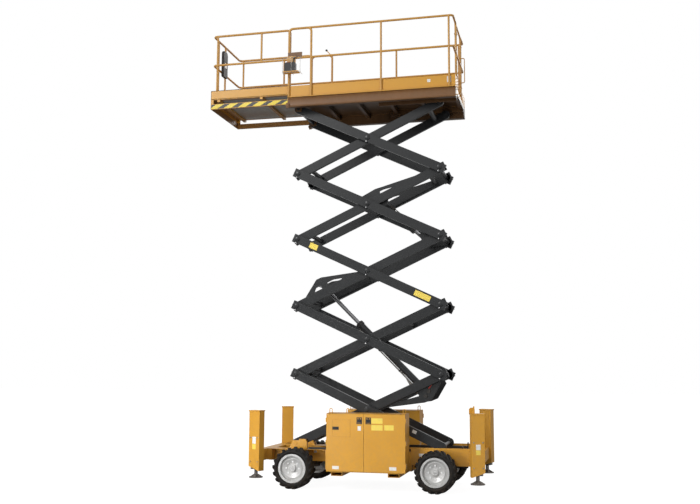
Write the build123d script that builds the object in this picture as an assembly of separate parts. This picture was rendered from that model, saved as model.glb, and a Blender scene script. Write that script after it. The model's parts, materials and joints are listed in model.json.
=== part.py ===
from build123d import *
from math import cos, radians, sin
import os

# Rough-terrain scissor lift: five crossed arm stages, a roll-out deck and four corner outriggers.
# Millimetres. +X points along the machine, with the steered wheels, the fixed pivots of the
# scissor and the roll-out deck at the -X end; +Z is up. The origin is on the ground midway
# between the four wheels. The lift stands partly raised, at rest_angle.

os.makedirs("parts", exist_ok=True)

# Running gear
wheelbase = 2290
half_track_outer = 885
tyre_radius = 325
tyre_width = 300
lug_height = 24
lug_count = 18
lug_thickness = 40
rim_seat_radius = 200
rim_flange_radius = 226
rim_width = 250
rim_wall = 7
dish_depth = 62
hub_radius = 82
axle_beam = 110
kingpin_y = 650
kingpin_radius = 16

# Chassis
frame_x0 = -1700
frame_x1 = 1750
rail_top = 600
rail_bottom = 400
belly_z = 300
inner_rail_y = (250, 330)
outer_rail_y = (430, 530)
outer_rail_x0 = -680
plate_thickness = 8
cross_beam_x = (-680, 0, 636)
cross_beam_width = 80
cross_beam_drop = 60
pivot_bracket_y = ((340, 364), (438, 466))
pivot_bracket_foot = 110
pivot_bracket_head = 48
track_x = (170, 1534)
track_y = (376, 436)
track_stop = 18
track_lip_x0 = 720
track_lip_y = (514, 530)
track_lip_top = 670
pocket_height = 62
pocket_width = 180
pocket_wall = 6
pocket_centres = (-397, 511)

# Side cabinets
cabinet_x = (-568, 696)
cabinet_y = (530, 900)
cabinet_z = (300, 1206)
cabinet_wall = 5
door_seam_x = 36
door_gap = 4
door_thickness = 26
hinge_radius = 7
hinge_y = 895
hinge_length = 70
hinge_heights = (410, 755, 1100)

# Scissor stack
stage_count = 5
arm_length = 2665
rest_angle = 25.0
base_pivot_z = 690
arm_height = 144
outer_arm_y = (440, 500)
inner_arm_y = (370, 430)
pin_radius = 30
pin_fit = 0.05
pin_head_radius = 44
pin_head = 8
cross_tube_radius = 40
gusset_y = (350, 360)
pin_proud = 5
roller_radius = 49.7
roller_gap = 0.3
base_roller_y = (378, 432)
top_roller_y = (436, 492)
cross_tubes = {1: [-1130], 2: [-1130, 680], 3: [-1130], 4: [-1130, 1130], 5: [-1130, 1130]}

# Lift cylinders, placed along and square to the arm that carries each end
lower_seat = (955, -205)
lower_eye = (-895, 235)
upper_seat = (221, -95)
upper_eye = (1090, -150)
lower_barrel_radius = 57
lower_rod_radius = 34
lower_barrel_length = 1700
lower_retract = 557
upper_barrel_radius = 50
upper_rod_radius = 28
upper_barrel_length = 640
upper_retract = 105
cylinder_pin_radius = 25
eye_half_width = 40
eye_side_gap = 5

# Platform
deck_x = (-1349, 1511)
deck_half_width = 684
deck_ledge = 32
deck_bottom = 6310
deck_floor = 6490
toe_board_top = 6684
rail_top_z = 7690
rail_mid_z = 7166
end_plate = 5
end_plate_clear_y = 520
sill_depth = 56
sill_height = 8
hanger_y = ((420, 436), (504, 518))
hanger_foot = 90
top_track_x0 = 200
top_track_y = (434, 496)
top_flange_y = (506, 514)
top_flange_drop = 40
cross_member_x = (-1349, -800, -250, 300, 850, 1440)
cross_member_width = 60
runner_x = (-1349, 380)
rail_tube = 19
main_rail_y = 703.5
main_rail_x1 = 1482
hoop_x = (-1348, -937)
rail_post_x = 275
extension_x0 = -2757
extension_tail_x = -950
extension_rail_y = 644
extension_floor = 6535
extension_beam_y = (640, 670)
extension_beam_z = (6370, 6460)
gate_half_width = 300
gate_post_y = 345
gate_tube = 16
gate_lug_z = (6760, 7500)
seat_gap = 0.3

# Outriggers
outrigger_x = (-1750, 1800)
outrigger_y = 835
outrigger_turn = 17
outrigger_width = 220
outrigger_depth = 150
outrigger_top = 1233
outrigger_low = 300
outrigger_wall = 8
leg_size = (150, 96)
leg_gap = 0.3
pad_z = (168, 184)

half_span = arm_length * cos(radians(rest_angle)) / 2
stage_rise = arm_length * sin(radians(rest_angle))
top_pivot_z = base_pivot_z + stage_count * stage_rise
wheel_x = wheelbase / 2
wheel_centre_y = half_track_outer - tyre_width / 2
hub_face_y = wheel_centre_y + rim_width / 2 - dish_depth - 20
left_pivot_x = -half_span
nodes = {}


def block(x0, x1, y0, y1, z0, z1):
    """A box between two opposite corners."""
    return Pos((x0 + x1) / 2, (y0 + y1) / 2, (z0 + z1) / 2) * Box(abs(x1 - x0), abs(y1 - y0), abs(z1 - z0))


def side_block(side, x0, x1, y0, y1, z0, z1):
    """A box whose y limits are distances from the centre plane on one side."""
    return block(x0, x1, side * y0, side * y1, z0, z1)


def round_y(x, z, radius, y0, y1):
    """A round bar along Y."""
    return Pos(x, (y0 + y1) / 2, z) * Rot(90, 0, 0) * Cylinder(radius, abs(y1 - y0))


def plate_y(points, y0, y1, corner=0):
    """A flat plate in the XZ plane, its outline given as (x, z) points."""
    low, high = min(y0, y1), max(y0, y1)
    face = make_face(Polyline(*points, close=True))
    if corner:
        face = fillet(face.vertices(), corner)
    return extrude(Plane(origin=(0, high, 0), x_dir=(1, 0, 0), z_dir=(0, -1, 0)) * face, amount=high - low)


def tube(points, radius, corner):
    """A round tube along straight runs joined by arcs."""
    path = FilletPolyline(*points, radius=corner) if len(points) > 2 else Line(*points)
    return sweep(Plane(origin=path @ 0, z_dir=path % 0) * Circle(radius), path=path)


def stage_centre(stage):
    """The centre pin of a stage, counted from 1 at the bottom."""
    return Pos(0, 0, base_pivot_z + (stage - 0.5) * stage_rise)


def rising(stage):
    """Moves a shape drawn along X to the arm that rises towards +X."""
    return stage_centre(stage) * Rot(0, -rest_angle, 0)


def falling(stage):
    """Moves a shape drawn along X to the arm that falls towards +X."""
    return stage_centre(stage) * Rot(0, rest_angle, 0)


def on_rising(stage, place):
    """The global (x, z) of a point given along and square to a rising arm."""
    point = (rising(stage) * Pos(place[0], 0, place[1])).position
    return point.X, point.Z


def on_falling(stage, place):
    """The global (x, z) of a point given along and square to a falling arm."""
    point = (falling(stage) * Pos(place[0], 0, place[1])).position
    return point.X, point.Z


# ---- scissor arms ----

def arm_bar(y_range, side):
    """One box-section arm with round ends, drawn along X about its centre."""
    slot = SlotCenterToCenter(arm_length, arm_height)
    y0, y1 = side * y_range[0], side * y_range[1]
    low, high = min(y0, y1), max(y0, y1)
    return extrude(Plane(origin=(0, high, 0), x_dir=(1, 0, 0), z_dir=(0, -1, 0)) * slot, amount=high - low)


def outer_arm(stage):
    """The outer pair of a stage: falls towards +X, carries the end shafts and the centre pins."""
    half = arm_length / 2
    frame = arm_bar(outer_arm_y, -1) + arm_bar(outer_arm_y, 1)
    shaft_end = hanger_y[1][1] if stage == stage_count else outer_arm_y[1]
    frame += round_y(-half, 0, pin_radius, -shaft_end, shaft_end)
    frame += round_y(half, 0, pin_radius, -outer_arm_y[1], outer_arm_y[1])
    heads_at = [-half, 0, half]
    if stage == 1:
        heads_at.remove(half)
    if stage == stage_count:
        heads_at.remove(-half)
    for side in (-1, 1):
        frame += round_y(0, 0, pin_radius, side * (inner_arm_y[0] - pin_proud), side * outer_arm_y[0])
        for x in heads_at:
            frame += round_y(x, 0, pin_head_radius, side * outer_arm_y[1], side * (outer_arm_y[1] + pin_head))
        if stage == 1:
            frame += round_y(half, 0, roller_radius, side * base_roller_y[0], side * base_roller_y[1])
    if stage == 4:
        frame += upper_eye_lever()
    return falling(stage) * frame


def upper_eye_lever():
    """Two levers on the lower end shaft that hold the upper cylinder's rod eye."""
    half = arm_length / 2
    x, z = upper_eye
    outline = [(half - 10, 58), (half + 48, 20), (half + 40, -44), (x + 40, z - 42), (x - 30, z - 34),
               (x - 120, z + 32), (x - 60, z + 62)]
    lever = Part()
    for side in (-1, 1):
        lever += plate_y(outline, side * gusset_y[0], side * gusset_y[1])
        lever += eye_stub(x, z, side)
    return lever


def eye_stub(x, z, side):
    """Half of a rod-eye pin: it stops beside the eye, whose linkage is open there."""
    return round_y(x, z, cylinder_pin_radius, side * (eye_half_width + eye_side_gap), side * gusset_y[1])


def inner_arm(stage):
    """The inner pair of a stage: rises towards +X and is bored for the outer pair's pins."""
    half = arm_length / 2
    frame = arm_bar(inner_arm_y, -1) + arm_bar(inner_arm_y, 1)
    for x in cross_tubes[stage]:
        frame += round_y(x, 0, cross_tube_radius, -inner_arm_y[0] - 5, inner_arm_y[0] + 5)
    if stage == 1:
        frame += lower_gusset()
    if stage == 3:
        frame += middle_gusset()
    if stage == 4:
        frame += upper_gusset()
    bored = [-half, 0, half]
    if stage == stage_count:
        bored.remove(half)
        for side in (-1, 1):
            frame += round_y(half, 0, pin_radius, side * inner_arm_y[1], side * top_roller_y[1])
            frame += round_y(half, 0, roller_radius, side * top_roller_y[0], side * top_roller_y[1])
    for x in bored:
        frame -= round_y(x, 0, pin_radius + pin_fit, -outer_arm_y[1], outer_arm_y[1])
    return rising(stage) * frame


def gusset_pair(outline, slots, pads):
    """A pair of plates inside the inner arms, with slots cut out and pads against the arms."""
    pair = Part()
    for side in (-1, 1):
        plate = plate_y(outline, side * gusset_y[0], side * gusset_y[1])
        for slot in slots:
            plate -= plate_y(slot, side * (gusset_y[0] - 2), side * (gusset_y[1] + 2), corner=6)
        for x0, x1 in pads:
            plate += side_block(side, x0, x1, gusset_y[1], inner_arm_y[0], -50, 50)
        pair += plate
    return pair


def lower_gusset():
    """Carries the foot of the lower cylinder under the stage 1 arms."""
    x, z = lower_seat
    outline = [(198, -50), (198, -72), (x - 67, z - 80), (x + 53, z - 85), (1248, -122), (1240, -40), (1150, 50), (700, 50)]
    slot = [(450, -86), (x - 110, -86), (x - 110, -150), (560, -104)]
    pair = gusset_pair(outline, [slot], [(300, 420), (1000, 1200)])
    return pair + round_y(x, z, cylinder_pin_radius, -gusset_y[1], gusset_y[1])


def middle_gusset():
    """Holds the lower cylinder's rod eye above the stage 3 arms."""
    x, z = lower_eye
    outline = [(-1215, 40), (-1200, 62), (x + 25, 278), (x + 118, 275), (-147, 75), (-160, -40), (-1150, -40)]
    first = [(-985, 96), (-840, 96), (-840, 150), (-930, 150)]
    second = [(-720, 96), (-430, 96), (-600, 148), (-720, 148)]
    pair = gusset_pair(outline, [first, second], [(-1150, -1000), (-400, -200)])
    return pair + eye_stub(x, z, -1) + eye_stub(x, z, 1)


def upper_gusset():
    """Carries the foot of the upper cylinder on the stage 4 arms."""
    x, z = upper_seat
    outline = [(-110, 60), (-60, 185), (208, 199), (330, 178), (1093, 62), (1060, -40), (x + 110, -50),
               (x + 62, z - 40), (x - 62, z - 40), (x - 100, -50), (-70, -45)]
    slot = [(250, 84), (520, 84), (330, 124), (262, 124)]
    pair = gusset_pair(outline, [slot], [(500, 640), (860, 1000)])
    return pair + round_y(x, z, cylinder_pin_radius, -gusset_y[1], gusset_y[1])


# ---- lift cylinders ----

def along(start, end):
    """A frame at start whose X axis points to end, in the XZ plane."""
    direction = Vector(end[0] - start[0], 0, end[1] - start[1])
    plane = Plane(origin=(start[0], 0, start[1]), x_dir=direction, z_dir=(0, -1, 0))
    return plane.location, direction.length


def round_along(location, x0, x1, radius):
    """A round bar along a cylinder's own X axis."""
    return location * Pos((x0 + x1) / 2, 0, 0) * Rot(0, 90, 0) * Cylinder(radius, x1 - x0)


def cylinder_pair(start, end, barrel_radius, rod_radius, barrel_length, retract):
    """Barrel and rod between two pins; retract is how far the rod can still run in."""
    location, length = along(start, end)
    eye_radius = barrel_radius * 0.95
    eye = location * Rot(0, 0, 0) * Cylinder(eye_radius, 2 * eye_half_width)
    pin_hole = location * Cylinder(cylinder_pin_radius + 0.1, 4 * eye_half_width)
    barrel = eye + round_along(location, eye_radius * 0.6, barrel_length, barrel_radius)
    barrel += round_along(location, barrel_length - 70, barrel_length, barrel_radius + 7)
    bore_start = eye_radius + 60
    barrel -= round_along(location, bore_start, barrel_length + 1, rod_radius + 0.1)
    barrel -= pin_hole
    rod_eye_place = location * Pos(length, 0, 0)
    rod = rod_eye_place * Cylinder(rod_radius * 1.65, 2 * eye_half_width)
    rod += round_along(location, bore_start + retract + 20, length - rod_radius, rod_radius)
    rod -= rod_eye_place * Cylinder(cylinder_pin_radius + 0.1, 4 * eye_half_width)
    return barrel, rod


# ---- running gear ----

def wheel_place(x, side):
    """A wheel's frame: local Z is the axle, pointing outboard."""
    return Pos(x, side * wheel_centre_y, tyre_radius) * (Rot(90, 0, 0) if side < 0 else Rot(-90, 0, 0))


def tyre():
    """A lugged tyre, drawn about Z."""
    crown = tyre_radius - lug_height
    half = tyre_width / 2
    seat = rim_seat_radius + 0.3
    bead = rim_width / 2 - 14
    profile = Polyline((seat, -bead), (rim_flange_radius + 6, -bead - 2), (265, -half + 6), (crown - 22, -half + 8),
                       (crown, -half + 38), (crown, half - 38), (crown - 22, half - 8), (265, half - 6),
                       (rim_flange_radius + 6, bead + 2), (seat, bead), close=True)
    carcass = revolve(Plane.XZ * make_face(profile), Axis.Z)
    lug = Pos(crown + 2, 0, half / 2 + 4) * Rot(28, 0, 0) * Box(2 * lug_height + 12, lug_thickness, half + 4)
    envelope = Cylinder(tyre_radius, tyre_width) - Cylinder(crown - 26, tyre_width + 2)
    lug = lug & envelope
    opposite = Rot(180, 0, 0) * lug
    step = 360 / lug_count
    lugs = [Rot(0, 0, step * i) * lug for i in range(lug_count)]
    lugs += [Rot(0, 0, step * (i + 0.5)) * opposite for i in range(lug_count)]
    return carcass + lugs


def rim():
    """A pressed steel rim with a dished centre, drawn about Z with the dish outboard."""
    half = rim_width / 2
    seat = rim_seat_radius
    disc_z = half - dish_depth
    profile = Polyline((seat, -half + 10), (rim_flange_radius, -half + 6), (rim_flange_radius, -half),
                       (seat - rim_wall, -half), (seat - rim_wall, disc_z - 8), (hub_radius, disc_z - 20),
                       (0, disc_z - 20), (0, disc_z - 4), (hub_radius, disc_z - 4), (150, disc_z + 22),
                       (seat - rim_wall, disc_z + 4), (seat - rim_wall, half), (rim_flange_radius, half),
                       (rim_flange_radius, half - 6), (seat, half - 10), close=True)
    body = revolve(Plane.XZ * make_face(profile), Axis.Z)
    cap = Pos(0, 0, disc_z + 10) * Cylinder(46, 28)
    return body + cap


# ---- axles and steering ----

def axle(x, steered):
    """A box-section axle with its mounting saddles; the rear one has hubs, the front one forks."""
    half = axle_beam / 2
    z = tyre_radius
    fork_y0 = kingpin_y - 50
    reach = fork_y0 - 10 if steered else hub_face_y - 24
    beam = block(x - half, x + half, -reach, reach, z - half, z + half)
    beam += Pos(x, 0, z) * Rot(0, 90, 0) * Cylinder(120, 190)
    for side in (-1, 1):
        beam += side_block(side, x - 90, x + 90, inner_rail_y[0] + 5, inner_rail_y[1] - 5, z + half - 4, rail_bottom)
        if steered:
            beam += side_block(side, x - 55, x + 55, fork_y0 - 14, fork_y0 + 6, z - 105, z + 105)
            for low in (z - 105, z + 75):
                lug = side_block(side, x - 42, x + 42, fork_y0, kingpin_y + 42, low, low + 30)
                beam += lug - Pos(x, side * kingpin_y, z) * Cylinder(kingpin_radius + pin_fit, 300)
        else:
            beam += round_y(x, z, 70, side * (hub_face_y - 60), side * (hub_face_y - 20))
            beam += round_y(x, z, hub_radius, side * (hub_face_y - 20), side * hub_face_y)
    return beam


def knuckle(side):
    """The steered hub carrier, turning on the kingpin between the axle's forks."""
    z = tyre_radius
    place = Pos(-wheel_x, side * kingpin_y, z)
    body = place * Cylinder(40, 149.4)
    body += place * Cylinder(kingpin_radius, 220)
    body += round_y(-wheel_x, z, 44, side * kingpin_y, side * (hub_face_y - 20))
    body += round_y(-wheel_x, z, hub_radius, side * (hub_face_y - 20), side * hub_face_y)
    return body


# ---- chassis ----

def chassis():
    """Two pairs of rails, cross beams, fork pockets and the fixed pivot brackets."""
    x0, x1 = frame_x0, frame_x1
    sill_x1 = cabinet_x[1] + 40
    frame = Part()
    for side in (-1, 1):
        frame += side_block(side, x0, x1, *inner_rail_y, rail_bottom, rail_top - plate_thickness)
        frame += side_block(side, outer_rail_x0, x1 - 60, *outer_rail_y, rail_bottom, rail_top)
        frame += side_block(side, outer_rail_x0, sill_x1, *outer_rail_y, belly_z, rail_bottom)
        frame += side_block(side, x0, outer_rail_x0, inner_rail_y[0], 500, rail_top - plate_thickness, rail_top)
        frame += side_block(side, track_x[0] - 20, x1 - 60, track_y[0] - 4, outer_rail_y[0],
                            rail_top - plate_thickness, rail_top)
        frame += side_block(side, track_lip_x0, x1 - 100, *track_lip_y, rail_top, track_lip_top)
        foot, head = pivot_bracket_foot, pivot_bracket_head
        bracket = [(left_pivot_x - foot, rail_top), (left_pivot_x + foot, rail_top),
                   (left_pivot_x + head, base_pivot_z + head), (left_pivot_x - head, base_pivot_z + head)]
        for y0, y1 in pivot_bracket_y:
            frame += plate_y(bracket, side * y0, side * y1)
        frame += round_y(left_pivot_x, base_pivot_z, pin_radius, side * pivot_bracket_y[0][0],
                         side * (pivot_bracket_y[1][1] + pin_head))
    frame += block(x0, x0 + 100, -500, 500, rail_bottom + 20, rail_top)
    frame += block(x1 - 100, x1, -530, 530, rail_bottom + 20, rail_top)
    for x in cross_beam_x:
        frame += block(x, x + cross_beam_width, -outer_rail_y[1], outer_rail_y[1],
                       rail_bottom, rail_top - cross_beam_drop)
    frame += block(outer_rail_x0, sill_x1, -outer_rail_y[1], outer_rail_y[1], belly_z, belly_z + plate_thickness)
    low = belly_z - pocket_height
    for x in pocket_centres:
        frame += block(x - pocket_width / 2, x + pocket_width / 2, -cabinet_y[1], cabinet_y[1], low, belly_z)
    for x in pocket_centres:
        frame -= block(x - pocket_width / 2 + pocket_wall, x + pocket_width / 2 - pocket_wall,
                       -cabinet_y[1] - 1, cabinet_y[1] + 1, low + pocket_wall, belly_z - pocket_wall)
    for x in outrigger_x:
        end = 1 if x > 0 else -1
        near, far = sorted((x - end * 60, x + end * 40))
        frame += block(near, far, -outrigger_y, outrigger_y, rail_bottom + 20, rail_top)
        for side in (-1, 1):
            frame -= outrigger_place(x, side) * outrigger_envelope()
    return frame


def roller_track(side):
    """The flat track, with a stop at each end, that the sliding ends of the stage 1 arms roll on."""
    surface = base_pivot_z - roller_radius - roller_gap
    x0, x1 = track_x
    track = side_block(side, x0, x1, *track_y, rail_top, surface)
    track += side_block(side, x0, x0 + track_stop, *track_y, surface, surface + 40)
    track += side_block(side, x1 - track_stop, x1, *track_y, surface, surface + 60)
    return track


def cabinet(side):
    """An open-fronted steel cabinet between the wheels."""
    x0, x1 = cabinet_x
    y0, y1 = cabinet_y
    z0, z1 = cabinet_z
    wall = cabinet_wall
    shell = side_block(side, x0, x1, y0, y1 - door_thickness - 6, z0, z1)
    shell += side_block(side, x0, x1, y0, y1, z1 - wall, z1)
    shell += side_block(side, x0, x1, y0, y1, z0, z0 + wall)
    shell -= side_block(side, x0 + wall, x1 - wall, y0 + wall, y1 - door_thickness - 5, z0 + wall, z1 - wall)
    leaf_y = hinge_y - hinge_radius - 0.3
    for z in hinge_heights:
        shell += side_block(side, x0 - 5, x0, leaf_y - 70, leaf_y, z - hinge_length / 2, z + hinge_length / 2)
        shell += side_block(side, x1, x1 + 5, leaf_y - 70, leaf_y, z - hinge_length / 2, z + hinge_length / 2)
    return shell


def door(side, x0, x1, hinge_x):
    """A folded steel door with its hinge knuckles on the outer upright edge."""
    y0, y1 = cabinet_y[1] - door_thickness, cabinet_y[1]
    z0, z1 = cabinet_z[0] + cabinet_wall + door_gap, cabinet_z[1] - cabinet_wall - door_gap
    panel = side_block(side, x0, x1, y0, y1, z0, z1)
    panel -= side_block(side, x0 + 4, x1 - 4, y0 - 1, y1 - 4, z0 + 4, z1 - 4)
    for z in hinge_heights:
        panel += Pos(hinge_x, side * hinge_y, z) * Cylinder(hinge_radius, 70)
        edge = x1 if hinge_x > x1 else x0
        panel += side_block(side, min(edge, hinge_x), max(edge, hinge_x), hinge_y - 2, hinge_y + 2, z - 35, z + 35)
    return panel


def engine():
    """The power unit in the far cabinet, as one plain heavy block."""
    floor = cabinet_z[0] + cabinet_wall
    return block(-220, 420, cabinet_y[0] + 40, cabinet_y[1] - 60, floor, floor + 480)


# ---- outriggers ----

def outrigger_place(x, side):
    """An outrigger's own frame: local -Y faces outboard, turned towards the nearer end."""
    turn = outrigger_turn * (1 if x > 0 else -1)
    return Pos(x, side * outrigger_y, 0) * Rot(0, 0, turn if side < 0 else 180 - turn)


def outrigger_envelope():
    """The outside of an outrigger housing in its own frame."""
    w, d = outrigger_width / 2, outrigger_depth / 2
    return block(-w, w, -d, d, outrigger_low, outrigger_top)


def outrigger_housing(x, side):
    """A square tube open at the bottom, cut on a slant, joined to the end beam."""
    w, d, wall = outrigger_width / 2, outrigger_depth / 2, outrigger_wall
    inside = block(-w + wall, w - wall, -d + wall, d - wall, outrigger_low - 10, outrigger_top - wall)
    return outrigger_place(x, side) * (outrigger_envelope() - inside)


def outrigger_leg(x, side):
    """The sliding leg with its foot pad."""
    w, d = leg_size[0] / 2, leg_size[1] / 2
    slack = outrigger_wall + leg_gap
    pad_w, pad_d = outrigger_width / 2 - slack, outrigger_depth / 2 - slack
    top = outrigger_top - outrigger_wall - 100
    leg = block(-w, w, -d, d, outrigger_low, top)
    leg += block(-pad_w, pad_w, -pad_d, pad_d, top - 60, top)
    leg += block(-pad_w, pad_w, -pad_d, pad_d, top - 420, top - 360)
    leg += Pos(0, 0, (pad_z[1] + outrigger_low) / 2) * Cylinder(28, outrigger_low - pad_z[1])
    leg += Pos(0, 0, (pad_z[0] + pad_z[1]) / 2) * Cylinder(110, pad_z[1] - pad_z[0])
    return outrigger_place(x, side) * leg


# ---- platform ----

def main_deck():
    """The fixed deck: side channels, cross members, floor, toe boards, pivot hangers and top tracks."""
    x0, x1 = deck_x
    w = deck_half_width
    z0, zf, zt = deck_bottom, deck_floor, toe_board_top
    deck = block(x0, x1, -(w - 48), w - 48, zf - 10, zf)
    for side in (-1, 1):
        deck += side_block(side, x0, x1, w - 8, w, z0, zt)
        deck += side_block(side, x0, x1, w, w + deck_ledge, zf - 12, zf)
        deck += side_block(side, x0, x1, w - 62, w, z0, z0 + 8)
        deck += side_block(side, x0, x1, w - 62, w - 54, z0, zf - 8)
        deck += side_block(side, x1 - end_plate, x1, gate_half_width + 30, w, zf, zt)
        for x in runner_x:
            deck += side_block(side, x, x + 70, *extension_beam_y, z0 + 8, extension_beam_z[0] - roller_gap)
        deck += top_track(side)
        hanger = [(left_pivot_x - hanger_foot, zf - 8), (left_pivot_x + hanger_foot, zf - 8),
                  (left_pivot_x + 48, top_pivot_z - 46), (left_pivot_x - 48, top_pivot_z - 46)]
        for y0, y1 in hanger_y:
            deck += plate_y(hanger, side * y0, side * y1)
    for side in (-1, 1):
        deck += side_block(side, x1 - end_plate, x1, end_plate_clear_y, w, z0, zf)
    for x in cross_member_x:
        deck += block(x, x + cross_member_width, -(w - 56), w - 56, zf - 80, zf - 8)
    deck += block(x1 - end_plate, x1, -w, w, zf - 80, zf)
    deck += block(x1 - sill_depth, x1, -(w - 8), w - 8, zf, zf + sill_height)
    deck -= round_y(left_pivot_x, top_pivot_z, pin_radius + pin_fit, -w + 62, w - 62)
    return deck


def top_track(side):
    """The track under the deck that stands on the rollers of the top arms, with an outer guide flange."""
    x0, x1 = top_track_x0, deck_x[1]
    y0, y1 = top_track_y
    surface = top_pivot_z + roller_radius + roller_gap
    track = side_block(side, x0, x1, y0, y1, surface, deck_floor - 8)
    track += side_block(side, x0, x1, y1, top_flange_y[1], surface, surface + 10)
    track += side_block(side, x0, x1, *top_flange_y, top_pivot_z - top_flange_drop, surface + 10)
    return track


def hoop(x0, x1, y, foot):
    """An upright hoop of tube in the plane of a side rail."""
    z1 = rail_top_z
    return tube([(x0, y, foot), (x0, y, z1), (x1, y, z1), (x1, y, foot)], rail_tube, 70)


def main_rails():
    """Fixed guard rails: a hoop by the roll-out deck, top and mid rails, end posts."""
    x1 = main_rail_x1
    branch = rail_tube - 1
    rails = []
    for side in (-1, 1):
        y = side * main_rail_y
        rail = hoop(hoop_x[0] + rail_tube, hoop_x[1], y, deck_floor)
        rail += tube([(hoop_x[1] - 80, y, rail_top_z), (x1, y, rail_top_z), (x1, side * gate_post_y, rail_top_z),
                      (x1, side * gate_post_y, deck_floor + sill_height)], branch, 50)
        rail += tube([(hoop_x[0] + rail_tube, y, rail_mid_z), (x1, y, rail_mid_z),
                      (x1, side * gate_post_y, rail_mid_z)], branch, 50)
        for x in (rail_post_x, x1 - 70):
            rail += tube([(x, y, rail_top_z), (x, y, deck_floor)], branch - 1, 0)
        for z in gate_lug_z:
            lug = side_block(side, x1 - 26, x1 + 26, gate_half_width - 26, gate_post_y, z, z + 12)
            if side > 0:
                lug = side_block(side, x1 - 26, x1 + 26, gate_half_width + gate_tube + 0.3, gate_post_y, z, z + 12)
            rail += lug - Pos(x1, side * gate_half_width, z) * Cylinder(gate_tube + 0.3, 60)
        rails.append(rail)
    return rails


def gate():
    """The swing gate between the end posts."""
    y0, y1 = -gate_half_width, gate_half_width
    z0, z1 = toe_board_top - 60, rail_top_z - 20
    x = main_rail_x1
    frame = tube([(x, y0, z0), (x, y0, z1), (x, y1, z1), (x, y1, z0)], gate_tube, 50)
    frame += tube([(x, y0, rail_mid_z), (x, y1, rail_mid_z)], gate_tube - 1, 0)
    frame += tube([(x, y0, z0 + 12), (x, y1, z0 + 12)], 12, 0)
    return frame


def extension_deck():
    """The roll-out deck: side beams that run in the main channels, floor and toe boards."""
    x0 = extension_x0
    x1 = deck_x[0] + 40
    y0, y1 = extension_beam_y
    z0, z1 = extension_beam_z
    top = toe_board_top + 16
    deck = block(x0, x1, -y1, y1, extension_floor, extension_floor + 8)
    for side in (-1, 1):
        deck += side_block(side, x0, extension_tail_x, y0, y1, z0, z1)
        deck += side_block(side, x0, x1, y1 - 6, y1, z1, top)
    for x in (x0 + 120, x0 + 900, x1 - 50):
        deck += block(x, x + 50, -y1, y1, deck_floor + 6, extension_floor)
    deck += block(x0, x0 + 6, -y1, y1, z0, top)
    return deck


def extension_rails():
    """Guard rails of the roll-out deck, nesting inside the fixed ones."""
    x0 = extension_x0 + rail_tube + 8
    x1 = deck_x[0] + 20
    y = extension_rail_y
    foot = extension_floor + 8
    branch = rail_tube - 1
    rails = tube([(x1, -y, foot), (x1, -y, rail_top_z), (x0, -y, rail_top_z), (x0, y, rail_top_z),
                  (x1, y, rail_top_z), (x1, y, foot)], rail_tube, 60)
    rails += tube([(x1, -y, rail_mid_z), (x0, -y, rail_mid_z), (x0, y, rail_mid_z), (x1, y, rail_mid_z)], branch, 60)
    for side in (-1, 1):
        rails += tube([(x0 + 72, side * y, foot), (x0 + 72, side * y, rail_top_z)], branch - 1, 0)
        rails += tube([(-1850, side * y, rail_mid_z), (-1850, side * y, rail_top_z)], branch - 1, 0)
    return rails


def control_box():
    """The operator's control box, hooked over the near rail inside a wire guard."""
    inner = main_rail_y + rail_tube + seat_gap
    return side_block(-1, -1400, -1080, inner, inner + 140, 6860, 7130)


def manual_box():
    """The document box on the end rail of the roll-out deck."""
    x = extension_x0 + 8 + 2 * rail_tube - 1 + seat_gap
    return block(x, x + 60, -330, -150, 7080, 7560)


# ---- build the nodes ----

nodes["chassis_frame"] = chassis()
for name, side in (("near", -1), ("far", 1)):
    nodes[f"roller_track_{name}"] = roller_track(side)
    nodes[f"cabinet_{name}"] = cabinet(side)
    nodes[f"door_{name}_left"] = door(side, cabinet_x[0], door_seam_x - door_gap / 2, cabinet_x[0] - 6)
    nodes[f"door_{name}_right"] = door(side, door_seam_x + door_gap / 2, cabinet_x[1], cabinet_x[1] + 6)
    nodes[f"knuckle_{name}"] = knuckle(side)
    for end, x in (("left", outrigger_x[0]), ("right", outrigger_x[1])):
        nodes[f"outrigger_housing_{end}_{name}"] = outrigger_housing(x, side)
        nodes[f"outrigger_leg_{end}_{name}"] = outrigger_leg(x, side)
nodes["engine_block"] = engine()
nodes["axle_front"] = axle(-wheel_x, True)
nodes["axle_rear"] = axle(wheel_x, False)
nodes["platform_deck"] = main_deck()
nodes["platform_rails_near"], nodes["platform_rails_far"] = main_rails()
nodes["platform_gate"] = gate()
nodes["extension_deck"] = extension_deck()
nodes["extension_rails"] = extension_rails()
nodes["control_box"] = control_box()
nodes["manual_box"] = manual_box()

for stage in range(1, stage_count + 1):
    nodes[f"outer_arm_{stage}"] = outer_arm(stage)
    nodes[f"inner_arm_{stage}"] = inner_arm(stage)

lower_barrel, lower_rod = cylinder_pair(on_rising(1, lower_seat), on_rising(3, lower_eye),
                                        lower_barrel_radius, lower_rod_radius, lower_barrel_length, lower_retract)
upper_barrel, upper_rod = cylinder_pair(on_rising(4, upper_seat), on_falling(4, upper_eye),
                                        upper_barrel_radius, upper_rod_radius, upper_barrel_length, upper_retract)
nodes["lower_cylinder_barrel"] = lower_barrel
nodes["lower_cylinder_rod"] = lower_rod
nodes["upper_cylinder_barrel"] = upper_barrel
nodes["upper_cylinder_rod"] = upper_rod

wheel_tyre = tyre()
wheel_rim = rim()
for end, x in (("front", -wheel_x), ("rear", wheel_x)):
    for name, side in (("near", -1), ("far", 1)):
        nodes[f"tyre_{end}_{name}"] = wheel_place(x, side) * wheel_tyre
        nodes[f"rim_{end}_{name}"] = wheel_place(x, side) * wheel_rim

for name, shape in nodes.items():
    export_step(shape, f"parts/{name}.step")
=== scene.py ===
import bpy
import bmesh
import json
import math
from mathutils import Matrix, Vector


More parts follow.
